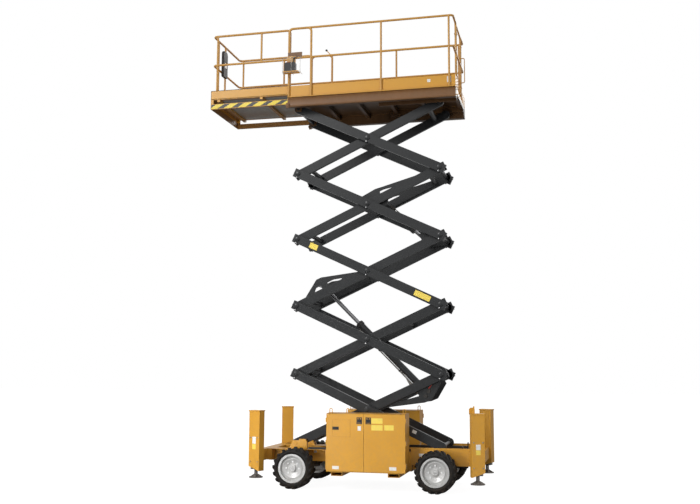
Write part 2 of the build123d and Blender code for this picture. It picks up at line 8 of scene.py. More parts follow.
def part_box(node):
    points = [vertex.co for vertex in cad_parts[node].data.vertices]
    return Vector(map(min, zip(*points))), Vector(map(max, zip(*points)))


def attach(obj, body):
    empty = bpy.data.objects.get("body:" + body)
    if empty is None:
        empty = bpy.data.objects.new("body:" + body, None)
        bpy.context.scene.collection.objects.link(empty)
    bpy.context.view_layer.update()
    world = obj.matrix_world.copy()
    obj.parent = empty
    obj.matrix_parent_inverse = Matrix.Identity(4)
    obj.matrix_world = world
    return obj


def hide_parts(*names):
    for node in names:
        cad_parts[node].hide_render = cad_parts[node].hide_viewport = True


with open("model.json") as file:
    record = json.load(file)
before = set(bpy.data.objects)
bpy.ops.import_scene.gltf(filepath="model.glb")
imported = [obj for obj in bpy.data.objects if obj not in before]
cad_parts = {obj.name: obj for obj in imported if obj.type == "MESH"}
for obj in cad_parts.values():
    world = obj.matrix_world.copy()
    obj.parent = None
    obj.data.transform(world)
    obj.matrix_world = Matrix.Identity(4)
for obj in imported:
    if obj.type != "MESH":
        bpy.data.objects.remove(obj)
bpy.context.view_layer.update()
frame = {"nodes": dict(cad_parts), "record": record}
print("frame loaded:", len(frame["nodes"]), "nodes")


# node helpers, used by the shaders and by the geometry nodes

def setInputs(tree, node, values):
    # a socket becomes a link, anything else the input's own value
    for key, value in values.items():
        if isinstance(value, bpy.types.NodeSocket):
            tree.links.new(value, node.inputs[key])
        else:
            node.inputs[key].default_value = value


def addNode(tree, kind, inputs=None, **options):
    node = tree.nodes.new(kind)
    for option, value in options.items():
        setattr(node, option, value)
    setInputs(tree, node, inputs or {})
    return node


def startTree(name, kind, inputs, outputs):
    tree = bpy.data.node_groups.new(name, kind)
    for direction, sockets in (("INPUT", inputs), ("OUTPUT", outputs)):
        for label, socket in sockets.items():
            tree.interface.new_socket(label, in_out=direction, socket_type="NodeSocket" + socket)
    return tree, tree.nodes.new("NodeGroupInput"), tree.nodes.new("NodeGroupOutput")


def mathNode(tree, operation, first, second=0.0, clamp=False):
    node = addNode(tree, "ShaderNodeMath", {0: first, 1: second}, operation=operation, use_clamp=clamp)
    return node.outputs[0]


def mixColour(tree, factor, first, second):
    # sockets 0, 6 and 7 of this node are the factor and the two colours
    return addNode(tree, "ShaderNodeMix", {0: factor, 6: first, 7: second}, data_type="RGBA").outputs[2]


def noiseNode(tree, vector, scale, detail):
    values = {"Vector": vector, "Scale": scale, "Detail": detail, "Roughness": 0.55}
    return addNode(tree, "ShaderNodeTexNoise", values).outputs["Fac"]


def rangeNode(tree, value, low, high):
    # 0 below low, 1 above high
    values = {"Value": value, "From Min": low, "From Max": high}
    return addNode(tree, "ShaderNodeMapRange", values).outputs["Result"]


def axesOf(tree, vector):
    return addNode(tree, "ShaderNodeSeparateXYZ", {0: vector}).outputs


# shader groups, built once and placed in each material with its own values

wearRange = dict(turned=(0.03, 0.2), patch=(0.45, 0.7), patchDetail=4.0, grainDetail=2.0)
dirtRange = dict(
    tone=(0.35, 0.65), toneDetail=4.0, streak=(0.42, 0.72), streakDetail=3.0, streakShare=0.18,
    streakScale=(14.0, 14.0, 1.2), speck=(0.38, 0.68), speckScale=22.0, speckDetail=5.0)


def softEdgeGroup():
    # rounds sharp corners in the shading, finds the edges that wear, and adds a fine grain
    tree, into, out = startTree(
        "soft edge", "ShaderNodeTree",
        {"Position": "Vector", "Radius": "Float", "Grain Scale": "Float", "Grain Depth": "Float",
         "Wear Scale": "Float"},
        {"Normal": "Vector", "Edge": "Float"})
    look, given = wearRange, into.outputs
    bevel = addNode(tree, "ShaderNodeBevel", {"Radius": given["Radius"]}, samples=4)
    shape = addNode(tree, "ShaderNodeNewGeometry")
    dot = addNode(tree, "ShaderNodeVectorMath", {0: bevel.outputs["Normal"], 1: shape.outputs["Normal"]},
                  operation="DOT_PRODUCT")
    turned = mathNode(tree, "SUBTRACT", 1.0, dot.outputs["Value"])
    patch = noiseNode(tree, given["Position"], given["Wear Scale"], look["patchDetail"])
    grain = noiseNode(tree, given["Position"], given["Grain Scale"], look["grainDetail"])
    bump = addNode(tree, "ShaderNodeBump", {"Height": grain, "Distance": given["Grain Depth"],
                                            "Normal": bevel.outputs["Normal"]})
    sharp, patchy = rangeNode(tree, turned, *look["turned"]), rangeNode(tree, patch, *look["patch"])
    edge = mathNode(tree, "MULTIPLY", sharp, patchy)
    setInputs(tree, out, {"Normal": bump.outputs["Normal"], "Edge": edge})
    return tree


def workDirtGroup():
    # uneven tone, dust that settles low down, and streaks that run down upright faces
    tree, into, out = startTree(
        "work dirt", "ShaderNodeTree",
        {"Position": "Vector", "Paint": "Color", "Faded": "Color", "Dust": "Color", "Tone Scale": "Float",
         "Dust Top": "Float", "Dust Amount": "Float"},
        {"Color": "Color", "Dusty": "Float"})
    look, given = dirtRange, into.outputs
    tone = noiseNode(tree, given["Position"], given["Tone Scale"], look["toneDetail"])
    painted = mixColour(tree, rangeNode(tree, tone, *look["tone"]), given["Paint"], given["Faded"])
    squeeze = addNode(tree, "ShaderNodeMapping", {"Vector": given["Position"], "Scale": look["streakScale"]})
    streak = noiseNode(tree, squeeze.outputs["Vector"], 1.0, look["streakDetail"])
    height = mathNode(tree, "DIVIDE", axesOf(tree, given["Position"])["Z"], given["Dust Top"])
    lowDown = mathNode(tree, "SUBTRACT", 1.0, height, clamp=True)
    speck = noiseNode(tree, given["Position"], look["speckScale"], look["speckDetail"])
    settled = mathNode(tree, "MULTIPLY", lowDown, rangeNode(tree, speck, *look["speck"]))
    everywhere = mathNode(tree, "MULTIPLY", rangeNode(tree, streak, *look["streak"]), look["streakShare"])
    both = mathNode(tree, "ADD", settled, everywhere)
    dusty = mathNode(tree, "MULTIPLY", both, given["Dust Amount"], clamp=True)
    setInputs(tree, out, {"Color": mixColour(tree, dusty, painted, given["Dust"]), "Dusty": dusty})
    return tree


softEdge = softEdgeGroup()
workDirt = workDirtGroup()


# finishes: what they share, then what each has of its own; colours are linear, dustTop is a height in metres

finishBase = dict(
    dustTop=9.0, metal=0.0, coat=0.0, coatRough=0.18, radius=0.003, grainDepth=0.0001, wearScale=30.0,
    dustRough=0.5)
finishes = {
    "bodyYellow": dict(
        paint=(0.64, 0.315, 0.030), faded=(0.60, 0.292, 0.028), dust=(0.34, 0.22, 0.10),
        worn=(0.30, 0.17, 0.06), dustTop=1.6, dustAmount=0.25, rough=0.36, coat=0.25, radius=0.004,
        grainScale=520.0, grainDepth=0.00012, toneScale=2.2),
    "railYellow": dict(
        paint=(0.60, 0.315, 0.060), faded=(0.54, 0.275, 0.05), dust=(0.36, 0.22, 0.12),
        worn=(0.25, 0.12, 0.05), dustAmount=0.20, rough=0.38, coat=0.2, grainScale=520.0, toneScale=3.0),
    "armCharcoal": dict(
        paint=(0.012, 0.0132, 0.0145), faded=(0.016, 0.0172, 0.0185), dust=(0.07, 0.068, 0.064),
        worn=(0.10, 0.10, 0.10), dustAmount=0.12, rough=0.34, coat=0.2, radius=0.005, grainScale=420.0,
        grainDepth=0.00008, toneScale=1.6),
    "tyreRubber": dict(
        paint=(0.008, 0.008, 0.008), faded=(0.013, 0.0125, 0.012), dust=(0.07, 0.045, 0.025),
        worn=(0.06, 0.055, 0.05), dustTop=0.8, dustAmount=0.35, rough=0.82, radius=0.006, grainScale=260.0,
        grainDepth=0.0004, toneScale=9.0),
    "rimSilver": dict(
        paint=(0.68, 0.68, 0.67), faded=(0.60, 0.60, 0.59), dust=(0.27, 0.22, 0.17),
        worn=(0.30, 0.27, 0.24), dustTop=0.7, dustAmount=0.25, rough=0.36, metal=0.45, coat=0.15,
        grainScale=380.0, grainDepth=0.00015, toneScale=12.0),
    "hardChrome": dict(
        paint=(0.42, 0.42, 0.43), faded=(0.34, 0.34, 0.35), dust=(0.3, 0.28, 0.25), worn=(0.6, 0.6, 0.6),
        dustAmount=0.08, rough=0.13, metal=1.0, radius=0.002, grainScale=600.0, grainDepth=0.00003,
        toneScale=6.0),
    "blackPlastic": dict(
        paint=(0.020, 0.020, 0.021), faded=(0.030, 0.030, 0.031), dust=(0.13, 0.12, 0.11),
        worn=(0.08, 0.08, 0.08), dustAmount=0.15, rough=0.5, radius=0.004, grainScale=900.0,
        grainDepth=0.0002, toneScale=8.0),
    "castBlack": dict(
        paint=(0.028, 0.027, 0.026), faded=(0.048, 0.044, 0.040), dust=(0.17, 0.13, 0.09),
        worn=(0.15, 0.12, 0.10), dustTop=1.2, dustAmount=0.5, rough=0.6, metal=0.2, radius=0.005,
        grainScale=240.0, grainDepth=0.0006, toneScale=7.0),
    "bareSteel": dict(
        paint=(0.30, 0.29, 0.28), faded=(0.22, 0.20, 0.18), dust=(0.20, 0.14, 0.09), worn=(0.4, 0.38, 0.36),
        dustTop=1.2, dustAmount=0.45, rough=0.42, metal=0.9, grainScale=300.0, grainDepth=0.0003,
        toneScale=9.0),
    "zincPlate": dict(
        paint=(0.52, 0.51, 0.48), faded=(0.40, 0.39, 0.37), dust=(0.25, 0.22, 0.18), worn=(0.5, 0.5, 0.5),
        dustAmount=0.2, rough=0.3, metal=0.9, radius=0.0015, grainScale=700.0, toneScale=20.0),
    # painted shade: the body yellow darkened to brown, for yellow parts that sit in shadow
    "shadedYellow": dict(
        paint=(0.19, 0.080, 0.018), faded=(0.16, 0.068, 0.015), dust=(0.26, 0.18, 0.11),
        worn=(0.25, 0.14, 0.06), dustAmount=0.3, rough=0.45, coat=0.2, radius=0.004, grainScale=520.0,
        grainDepth=0.00012, toneScale=2.2),
    "labelWhite": dict(
        paint=(0.80, 0.80, 0.78), faded=(0.72, 0.72, 0.69), dust=(0.5, 0.45, 0.38), worn=(0.6, 0.6, 0.6),
        dustAmount=0.12, rough=0.4, coat=0.3, radius=0.0005, grainScale=900.0, grainDepth=0.00003,
        toneScale=30.0),
    "labelYellow": dict(
        paint=(0.86, 0.66, 0.09), faded=(0.80, 0.60, 0.10), dust=(0.5, 0.4, 0.25), worn=(0.6, 0.5, 0.2),
        dustAmount=0.12, rough=0.4, coat=0.3, radius=0.0005, grainScale=900.0, grainDepth=0.00003,
        toneScale=30.0),
    "leverRed": dict(
        paint=(0.55, 0.03, 0.02), faded=(0.48, 0.03, 0.025), dust=(0.3, 0.2, 0.15), worn=(0.4, 0.2, 0.15),
        dustAmount=0.15, rough=0.4, coat=0.2, radius=0.001, grainScale=700.0, toneScale=20.0),
}
slotFinish = {
    "body_paint": "bodyYellow", "rail_paint": "railYellow", "arm_paint": "armCharcoal",
    "tyre": "tyreRubber", "rim": "rimSilver", "chrome": "hardChrome", "black_plastic": "blackPlastic",
    "dark_metal": "castBlack", "leg_steel": "bareSteel"}
stripes = dict(pitch=0.262, duty=0.55, slant=1.7, yellow=(0.80, 0.62, 0.04), black=(0.02, 0.02, 0.02))
# painted shade: dark brown on the deck's faces that look down and inside its frame below the top
deckPaintedShade = {
    "deckYellow": dict(paintedShade=(0.075, 0.036, 0.014), frameHalf=0.6835),
    "extensionYellow": dict(paintedShade=(0.28, 0.13, 0.035), frameHalf=0.6695),
}
deckFrame = dict(top=6.4795, downward=-0.5)


def opaque(colour):
    return (*colour, 1.0)


def makeFinish(name, source, paintOver=None):
    # paintOver(tree, position) gives a colour that takes the place of the plain paint
    look = dict(finishBase, **finishes[source])
    material = bpy.data.materials.new(name)
    material.use_nodes = True
    tree = material.node_tree
    tree.nodes.clear()
    position = addNode(tree, "ShaderNodeTexCoord").outputs["Object"]
    fresh, faded = opaque(look["paint"]), opaque(look["faded"])
    if paintOver:
        fresh = faded = paintOver(tree, position)
    edge = addNode(tree, "ShaderNodeGroup", {
        "Position": position, "Radius": look["radius"], "Grain Scale": look["grainScale"],
        "Grain Depth": look["grainDepth"], "Wear Scale": look["wearScale"]}, node_tree=softEdge)
    dirt = addNode(tree, "ShaderNodeGroup", {
        "Position": position, "Paint": fresh, "Faded": faded, "Dust": opaque(look["dust"]),
        "Tone Scale": look["toneScale"], "Dust Top": look["dustTop"], "Dust Amount": look["dustAmount"]},
        node_tree=workDirt)
    dull = mathNode(tree, "MULTIPLY", dirt.outputs["Dusty"], look["dustRough"])
    shader = addNode(tree, "ShaderNodeBsdfPrincipled", {
        "Base Color": mixColour(tree, edge.outputs["Edge"], dirt.outputs["Color"], opaque(look["worn"])),
        "Roughness": mathNode(tree, "ADD", dull, look["rough"], clamp=True), "Normal": edge.outputs["Normal"],
        "Metallic": look["metal"], "Coat Weight": look["coat"], "Coat Roughness": look["coatRough"]})
    addNode(tree, "ShaderNodeOutputMaterial", {"Surface": shader.outputs["BSDF"]})
    return material


def stripePaint(tree, position):
    # slanted black bars on yellow
    axes = axesOf(tree, position)
    leaning = mathNode(tree, "ADD", axes["X"], mathNode(tree, "MULTIPLY", axes["Z"], -stripes["slant"]))
    phase = mathNode(tree, "FRACT", mathNode(tree, "DIVIDE", leaning, stripes["pitch"]))
    bar = mathNode(tree, "GREATER_THAN", phase, stripes["duty"])
    return mixColour(tree, bar, opaque(stripes["yellow"]), opaque(stripes["black"]))


def underShadePaint(look):
    # yellow outside; painted shade, a dark brown, on faces that look down and inside the frame below its top
    def paintOver(tree, position):
        axes = axesOf(tree, position)
        facing = axesOf(tree, addNode(tree, "ShaderNodeNewGeometry").outputs["Normal"])
        under = mathNode(tree, "LESS_THAN", facing["Z"], deckFrame["downward"])
        within = mathNode(tree, "LESS_THAN", mathNode(tree, "ABSOLUTE", axes["Y"]), look["frameHalf"])
        below = mathNode(tree, "LESS_THAN", axes["Z"], deckFrame["top"])
        shadeMask = mathNode(tree, "MAXIMUM", under, mathNode(tree, "MULTIPLY", within, below))
        return mixColour(tree, shadeMask, opaque(finishes["bodyYellow"]["paint"]), opaque(look["paintedShade"]))
    return paintOver


paint = {name: makeFinish(name, name) for name in finishes}
paint["hazardStripe"] = makeFinish("hazardStripe", "bodyYellow", stripePaint)
for name, look in deckPaintedShade.items():
    paint[name] = makeFinish(name, "bodyYellow", underShadePaint(look))

for sub in frame["record"]["subparts"]:
    node = frame["nodes"][sub["node"]]
    node.data.materials.clear()
    node.data.materials.append(paint[slotFinish[sub["material_slot"]]])
# the deck takes the yellow with painted shade, a dark brown, underneath and inside its frame
frame["nodes"]["platform_deck"].data.materials[0] = paint["deckYellow"]
print("materials ready:", len(paint))


# mesh helpers: each adds a closed solid to a mesh in the making

def addRing(mesh, points):
    return [mesh.verts.new(point) for point in points]


def bridge(mesh, lower, upper):
    # faces between two rings of corners; a ring of one corner is a tip
    count = max(len(lower), len(upper))
    for i in range(count):
        j = (i + 1) % count
        corners = [lower[i % len(lower)], lower[j % len(lower)], upper[j % len(upper)], upper[i % len(upper)]]
        unique = list(dict.fromkeys(corners))
        if len(unique) > 2:
            mesh.faces.new(unique)


def addSkin(mesh, rings):
    # faces from ring to ring and over both ends
    for lower, upper in zip(rings, rings[1:]):
        bridge(mesh, lower, upper)
    mesh.faces.new(rings[0])
    mesh.faces.new(list(reversed(rings[-1])))


def addBox(mesh, low, high, place=Matrix()):
    corners = ((low[0], low[1]), (high[0], low[1]), (high[0], high[1]), (low[0], high[1]))
    rings = [[place @ Vector((x, y, z)) for x, y in corners] for z in (low[2], high[2])]
    addSkin(mesh, [addRing(mesh, ring) for ring in rings])


def addBoxPair(mesh, x, y, z, place=Matrix()):
    # the same box on the near and on the far side
    for side in (-1, 1):
        near, far = sorted((side * y[0], side * y[1]))
        addBox(mesh, (x[0], near, z[0]), (x[1], far, z[1]), place)


def addPlate(mesh, outline, y0, y1, place=Matrix()):
    # outline holds (x, z) points; the plate stands between two y values
    addSkin(mesh, [addRing(mesh, [place @ Vector((x, y, z)) for x, z in outline]) for y in (y0, y1)])


def circle(radius, height, corners):
    if radius == 0:
        return [Vector((0, 0, height))]
    turns = [2 * math.pi * i / corners for i in range(corners)]
    return [Vector((radius * math.cos(turn), radius * math.sin(turn), height)) for turn in turns]


def addLathe(mesh, profile, place, corners=24, closed=False):
    # profile holds (distance from the axis, height) in order; place turns local Z to the axis
    rings = []
    for radius, height in profile:
        rings.append(addRing(mesh, [place @ point for point in circle(radius, height, corners)]))
    for lower, upper in zip(rings, rings[1:] + rings[:1] * closed):
        bridge(mesh, lower, upper)


def addRod(mesh, start, end, radius, corners=12):
    start, end = Vector(start), Vector(end)
    place = Matrix.Translation(start) @ (end - start).to_track_quat("Z", "Y").to_matrix().to_4x4()
    length = (end - start).length
    addLathe(mesh, [(0, 0), (radius, 0), (radius, length), (0, length)], place, corners)


def roundPath(points, radius, steps=6):
    # rounds the corners of a run of straight lines
    path = [points[0]]
    for before, corner, after in zip(points, points[1:], points[2:]):
        back = (before - corner).normalized()
        ahead = (after - corner).normalized()
        reach = min(radius, (before - corner).length / 2, (after - corner).length / 2)
        for i in range(steps + 1):
            t = i / steps
            path.append(corner + back * reach * (1 - t) ** 2 + ahead * reach * t ** 2)
    return path + [points[-1]]


def addTube(mesh, points, radius, bend, corners=8, place=Matrix()):
    path = roundPath([place @ Vector(point) for point in points], bend)
    rings = []
    side = None
    for i, point in enumerate(path):
        ahead = (path[min(i + 1, len(path) - 1)] - path[max(i - 1, 0)]).normalized()
        side = side or ahead.orthogonal()
        side = (side - ahead * side.dot(ahead)).normalized()
        other = ahead.cross(side)
        spots = circle(radius, 0, corners)
        rings.append(addRing(mesh, [point + side * spot.x + other * spot.y for spot in spots]))
    addSkin(mesh, rings)


def settle(data, name, body, smooth=35.0):
    piece = bpy.data.objects.new(name, data)
    bpy.context.scene.collection.objects.link(piece)
    data.shade_smooth()
    data.set_sharp_from_angle(angle=math.radians(smooth))
    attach(piece, body)
    return piece


def finishMesh(mesh, name, finish, body, smooth=35.0):
    bmesh.ops.recalc_face_normals(mesh, faces=mesh.faces)
    data = bpy.data.meshes.new(name)
    mesh.to_mesh(data)
    mesh.free()
    data.materials.append(paint[finish])
    return settle(data, name, body, smooth)


# geometry nodes: the same bolt head at even steps round a ring or along a line

def startBolts(name, sizes, corners):
    inputs = dict({"Geometry": "Geometry", "Count": "Int", "Head Radius": "Float", "Head Height": "Float",
                   "Material": "Material"}, **sizes)
    tree, into, out = startTree(name, "GeometryNodeTree", inputs, {"Geometry": "Geometry"})
    head = addNode(tree, "GeometryNodeMeshCylinder", {
        "Vertices": corners, "Radius": into.outputs["Head Radius"], "Depth": into.outputs["Head Height"]})
    return tree, into, out, head.outputs["Mesh"]


def endBolts(tree, into, out, points, head):
    spread = addNode(tree, "GeometryNodeInstanceOnPoints", {
        "Points": points.outputs["Mesh"], "Instance": head})
    realize = addNode(tree, "GeometryNodeRealizeInstances", {"Geometry": spread.outputs["Instances"]})
    coat = addNode(tree, "GeometryNodeSetMaterial", {
        "Geometry": realize.outputs["Geometry"], "Material": into.outputs["Material"]})
    setInputs(tree, out, {"Geometry": coat.outputs["Geometry"]})
    return tree


def boltRingNodes():
    # hexagon heads round the object's own Z axis
    tree, into, out, head = startBolts("bolt ring", {"Ring Radius": "Float"}, 6)
    ring = addNode(tree, "GeometryNodeMeshCircle", {
        "Vertices": into.outputs["Count"], "Radius": into.outputs["Ring Radius"]})
    return endBolts(tree, into, out, ring, head)


def boltRowNodes():
    # round heads, their axis along Y, at even steps from a first point
    tree, into, out, head = startBolts("bolt row", {"First": "Vector", "Step": "Vector"}, 8)
    given = into.outputs
    row = addNode(tree, "GeometryNodeMeshLine", {
        "Count": given["Count"], "Start Location": given["First"], "Offset": given["Step"]}, mode="OFFSET")
    turned = addNode(tree, "GeometryNodeTransform", {"Geometry": head, "Rotation": (math.pi / 2, 0, 0)})
    return endBolts(tree, into, out, row, turned.outputs["Geometry"])


boltRing = boltRingNodes()
boltRow = boltRowNodes()


def growBolts(tree, values):
    # evaluates a node tree on an empty mesh with the named values and returns a plain mesh
    values = dict(values, Material=paint["zincPlate"])
    seed = bpy.data.objects.new("seed", bpy.data.meshes.new("seed"))
    bpy.context.scene.collection.objects.link(seed)
    modifier = seed.modifiers.new("grow", "NODES")
    modifier.node_group = tree
    for item in tree.interface.items_tree:
        if item.in_out == "INPUT" and item.name in values:
            modifier[item.identifier] = values[item.name]
    seed.update_tag()
    depsgraph = bpy.context.evaluated_depsgraph_get()
    data = bpy.data.meshes.new_from_object(seed.evaluated_get(depsgraph), depsgraph=depsgraph)
    bpy.data.objects.remove(seed)
    return data


def settleBolts(parts, name, body):
    # parts holds (mesh, place) pairs; they become one piece with the first one's material
    joined = bmesh.new()
    for data, place in parts:
        copy = data.copy()
        copy.transform(place)
        joined.from_mesh(copy)
        bpy.data.meshes.remove(copy)
    whole = bpy.data.meshes.new(name)
    joined.to_mesh(whole)
    joined.free()
    whole.materials.append(parts[0][0].materials[0])
    settle(whole, name, body)


# places taken from the frame

joints = {joint["name"]: joint for joint in frame["record"]["behaviour"]["joints"]}
pins = {name: Vector(joint["pos_m"]) for name, joint in joints.items() if "pos_m" in joint}
stageCount = sum(name.startswith("centre_pin_") for name in pins)
sides = {"near": -1, "far": 1}


def boxOf(node):
    low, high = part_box(node)
    return Vector(low), Vector(high)


def armPlace(kind, stage):
    # local X runs along the arm from its left end; the origin is its centre pin
    centre = pins[f"centre_pin_{stage}"]
    if kind == "inner":
        left = pins["lift"] if stage == 1 else pins[f"end_pin_{stage - 1}"]
    else:
        left = pins["platform_pin"] if stage == stageCount else pins[f"end_pin_{stage}"]
    run = centre - left
    turn = Matrix.Rotation(math.atan2(-run.z, run.x), 4, "Y")
    return Matrix.Translation(centre) @ turn, run.length


# tyres: a round carcass with the same lugs as the solids; bead and sidewall hold (radius, distance from the
# bead or in from the side), shoulder holds (distance down from the crown, distance in from the side)

tyreDesign = dict(
    width=0.300, lugHeight=0.024, lugCount=18, lugLength=0.154, lugThickness=0.040, lugSkew=28.0,
    lugRoot=0.012, lugSteps=5, lugDrop=0.007, lugCrown=0.86, lugShift=0.004, lugInset=0.001,
    beadHalf=0.111, ringCorners=84, crownRise=0.001, bead=((0.2003, 0.0), (0.231, 0.002)),
    sidewall=((0.236, 0.022), (0.247, 0.010), (0.254, 0.0065), (0.257, 0.0035), (0.262, 0.0035),
              (0.265, 0.006), (0.278, 0.010)),
    shoulder=((0.008, 0.022), (0.0, 0.040)))


def addLug(mesh, radius, turn, flip, place):
    # a block that follows the tread's curve, its shoulder end rounded down
    look = tyreDesign
    half = look["width"] / 2
    skew = math.radians(look["lugSkew"])
    root = radius - look["lugHeight"] - look["lugRoot"]
    last, crown = look["lugSteps"] - 1, look["lugCrown"]
    stations = []
    for i in range(look["lugSteps"]):
        along = look["lugLength"] * (i / last - 0.5)
        height = radius - (look["lugDrop"] if i == last else 0.0)
        station = []
        for across, distance in ((-1, root), (-crown, height), (crown, height), (1, root)):
            shift = across * look["lugThickness"] / 2
            z = half / 2 + look["lugShift"] + along * math.cos(skew) + shift * math.sin(skew)
            z = min(z, half - look["lugInset"]) * flip
            angle = turn + flip * (-along * math.sin(skew) + shift * math.cos(skew)) / radius
            station.append(place @ Vector((distance * math.cos(angle), distance * math.sin(angle), z)))
        stations.append(addRing(mesh, station))
    addSkin(mesh, stations)


def wheelPlace(end, side):
    centre = pins[f"roll_{end}_{side}"]
    return Matrix.Translation(centre) @ Matrix.Rotation(-sides[side] * math.pi / 2, 4, "X")


def makeTyre(end, side):
    look = tyreDesign
    node = f"tyre_{end}_{side}"
    place = wheelPlace(end, side)
    radius = pins[f"roll_{end}_{side}"].z - boxOf(node)[0].z
    crown = radius - look["lugHeight"]
    half = look["width"] / 2
    outside = [(distance, look["beadHalf"] + outward) for distance, outward in look["bead"]]
    outside += [(distance, half - inward) for distance, inward in look["sidewall"]]
    outside += [(crown - down, half - inward) for down, inward in look["shoulder"]]
    middle = [(crown + look["crownRise"], 0)]
    profile = [(r, -z) for r, z in outside] + middle + [(r, z) for r, z in reversed(outside)]
    mesh = bmesh.new()
    addLathe(mesh, profile, place, look["ringCorners"], closed=True)
    pitch = 2 * math.pi / look["lugCount"]
    for i in range(look["lugCount"]):
        addLug(mesh, radius, pitch * i, 1, place)
        addLug(mesh, radius, pitch * (i + 0.5), -1, place)
    tyre = finishMesh(mesh, f"lugged_{node}", "tyreRubber", f"wheel_{end}_{side}", smooth=40.0)
    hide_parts(node)


# wheel nuts, hub cap and valve on each rim; heights are from the wheel's middle

wheelFitting = dict(
    nuts={"Count": 8, "Ring Radius": 0.104, "Head Radius": 0.0135, "Head Height": 0.022}, nutStand=0.070,
    capBolts={"Count": 6, "Ring Radius": 0.031, "Head Radius": 0.006, "Head Height": 0.008}, capStand=0.092,
    cap=[(0, 0.060), (0.052, 0.060), (0.052, 0.084), (0.044, 0.091), (0.020, 0.091), (0.016, 0.098),
         (0, 0.099)],
    valve=((0.168, 0, 0.070), (0.176, 0, 0.104)), valveRadius=0.005)


def makeWheelFittings(end, side):
    look = wheelFitting
    place = wheelPlace(end, side)
    body = f"wheel_{end}_{side}"
    parts = [(growBolts(boltRing, look["nuts"]), place @ Matrix.Translation((0, 0, look["nutStand"]))),
             (growBolts(boltRing, look["capBolts"]), place @ Matrix.Translation((0, 0, look["capStand"])))]
    settleBolts(parts, f"wheel_nuts_{end}_{side}", body)
    mesh = bmesh.new()
    addLathe(mesh, look["cap"], place, 28)
    start, tip = (place @ Vector(point) for point in look["valve"])
    addRod(mesh, start, tip, look["valveRadius"], 8)
    finishMesh(mesh, f"hub_cap_{end}_{side}", "rimSilver", body)


# arms: square ends, pin caps with keeper plates and their bolts, blank stickers

armDesign = dict(
    height=0.144, width=0.060, outerFace=0.500, innerFace=0.430, leftOverhang=0.072, rightOverhang=0.094,
    endGap=0.002, endInset=0.0004)
keeperDesign = dict(
    capFace=0.508, cap=[(0.040, -0.002), (0.040, 0.003), (0.034, 0.007), (0, 0.007)],
    plateX=(-0.006, 0.022), plateZ=(-0.088, -0.040), plateInset=0.001, boltX=0.008, boltZ=-0.066,
    boltStand=0.008, bolt={"Count": 1, "Head Radius": 0.009, "Head Height": 0.010})
armStickers = [
    dict(stage=3, finish="labelYellow", x=(-1.09, -0.94), z=(-0.046, 0.046)),
    dict(stage=3, finish="labelYellow", x=(0.87, 1.15), z=(-0.046, 0.046)),
    dict(stage=1, finish="labelWhite", x=(0.81, 0.88), z=(-0.005, 0.045)),
]
stickerThickness = 0.0012


def addArmEnds(mesh, place, half, face, skipLeft, skipRight):
    # square ends over the rounded ones
    look = armDesign
    spans = []
    if not skipLeft:
        spans.append((-half - look["leftOverhang"], -half - look["endGap"]))
    if not skipRight:
        spans.append((half + look["endGap"], half + look["rightOverhang"]))
    for span in spans:
        addBoxPair(mesh, span, (face - look["width"], face - look["endInset"]),
                   (-look["height"] / 2, look["height"] / 2), place)


def makeArmFittings(stage):
    look, face = keeperDesign, armDesign["outerFace"]
    place, half = armPlace("outer", stage)
    heads = [-half, 0.0, half]
    if stage == 1:
        heads.remove(half)
    if stage == stageCount:
        heads.remove(-half)
    mesh = bmesh.new()
    bolts = []
    for x in heads:
        span = [x + reach for reach in look["plateX"]]
        addBoxPair(mesh, span, (face, look["capFace"] - look["plateInset"]), look["plateZ"], place)
        for side in (-1, 1):
            outward = Matrix.Rotation(-side * math.pi / 2, 4, "X")
            addLathe(mesh, look["cap"], place @ Matrix.Translation((x, side * look["capFace"], 0)) @ outward)
            bolts.append((x + look["boltX"], side * (face + look["boltStand"]), look["boltZ"]))
    addArmEnds(mesh, place, half, face, stage == stageCount, stage == 1)
    finishMesh(mesh, f"arm_fittings_outer_{stage}", "armCharcoal", f"outer_{stage}")
    head = growBolts(boltRow, look["bolt"])
    parts = [(head, place @ Matrix.Translation(point)) for point in bolts]
    settleBolts(parts, f"keeper_bolts_{stage}", f"outer_{stage}")


def makeInnerArmEnds(stage):
    place, half = armPlace("inner", stage)
    mesh = bmesh.new()
    addArmEnds(mesh, place, half, armDesign["innerFace"], stage == 1, stage == stageCount)
    finishMesh(mesh, f"arm_ends_inner_{stage}", "armCharcoal", f"inner_{stage}")


def makeSticker(name, sticker, face, body, place=Matrix()):
    # a thin blank plate on a face that looks towards -Y
    (x0, x1), (z0, z1) = sticker["x"], sticker["z"]
    mesh = bmesh.new()
    addBox(mesh, (x0, -face - stickerThickness, z0), (x1, -face, z1), place)
    finishMesh(mesh, name, sticker.get("finish", "labelWhite"), body)


def makeArmStickers():
    for i, sticker in enumerate(armStickers, 1):
        stage = sticker["stage"]
        place = armPlace("outer", stage)[0]
        makeSticker(f"arm_sticker_{i}", sticker, armDesign["outerFace"], f"outer_{stage}", place)


# cabinets: latches, hatch, recessed handle, lifting eyes, hinge bolts and blank stickers

cabinetDesign = dict(face=0.900)
latchDesign = dict(
    x=(-0.034, 0.111), z=1.096, width=0.086, height=0.104, rim=(0.012, 0.014), proud=0.004,
    paddleSide=0.014, paddleFoot=0.020, paddleHead=0.030, paddleProud=0.001, lockDown=0.022,
    lockRadius=0.010, lockProud=0.007)
hatchDesign = dict(
    x=(-0.475, -0.173), z=(0.835, 1.116), rim=0.010, proud=0.0025, gap=0.004, panelProud=0.0015)
handleDesign = dict(x=(-0.470, -0.365), z=(0.950, 0.998), rim=0.010, proud=0.005, floorProud=0.003)
eyeDesign = dict(
    x=(-0.540, -0.262, 0.655), y=0.720, top=1.275, plateHalf=0.030, plateThickness=0.006, half=0.020,
    wire=0.006)
hingeDesign = dict(
    heights=(0.410, 0.755, 1.100), y=0.842, stand=0.002, row={"Count": 3, "First": (0, 0, -0.024),
    "Step": (0, 0, 0.024), "Head Radius": 0.005, "Head Height": 0.006})
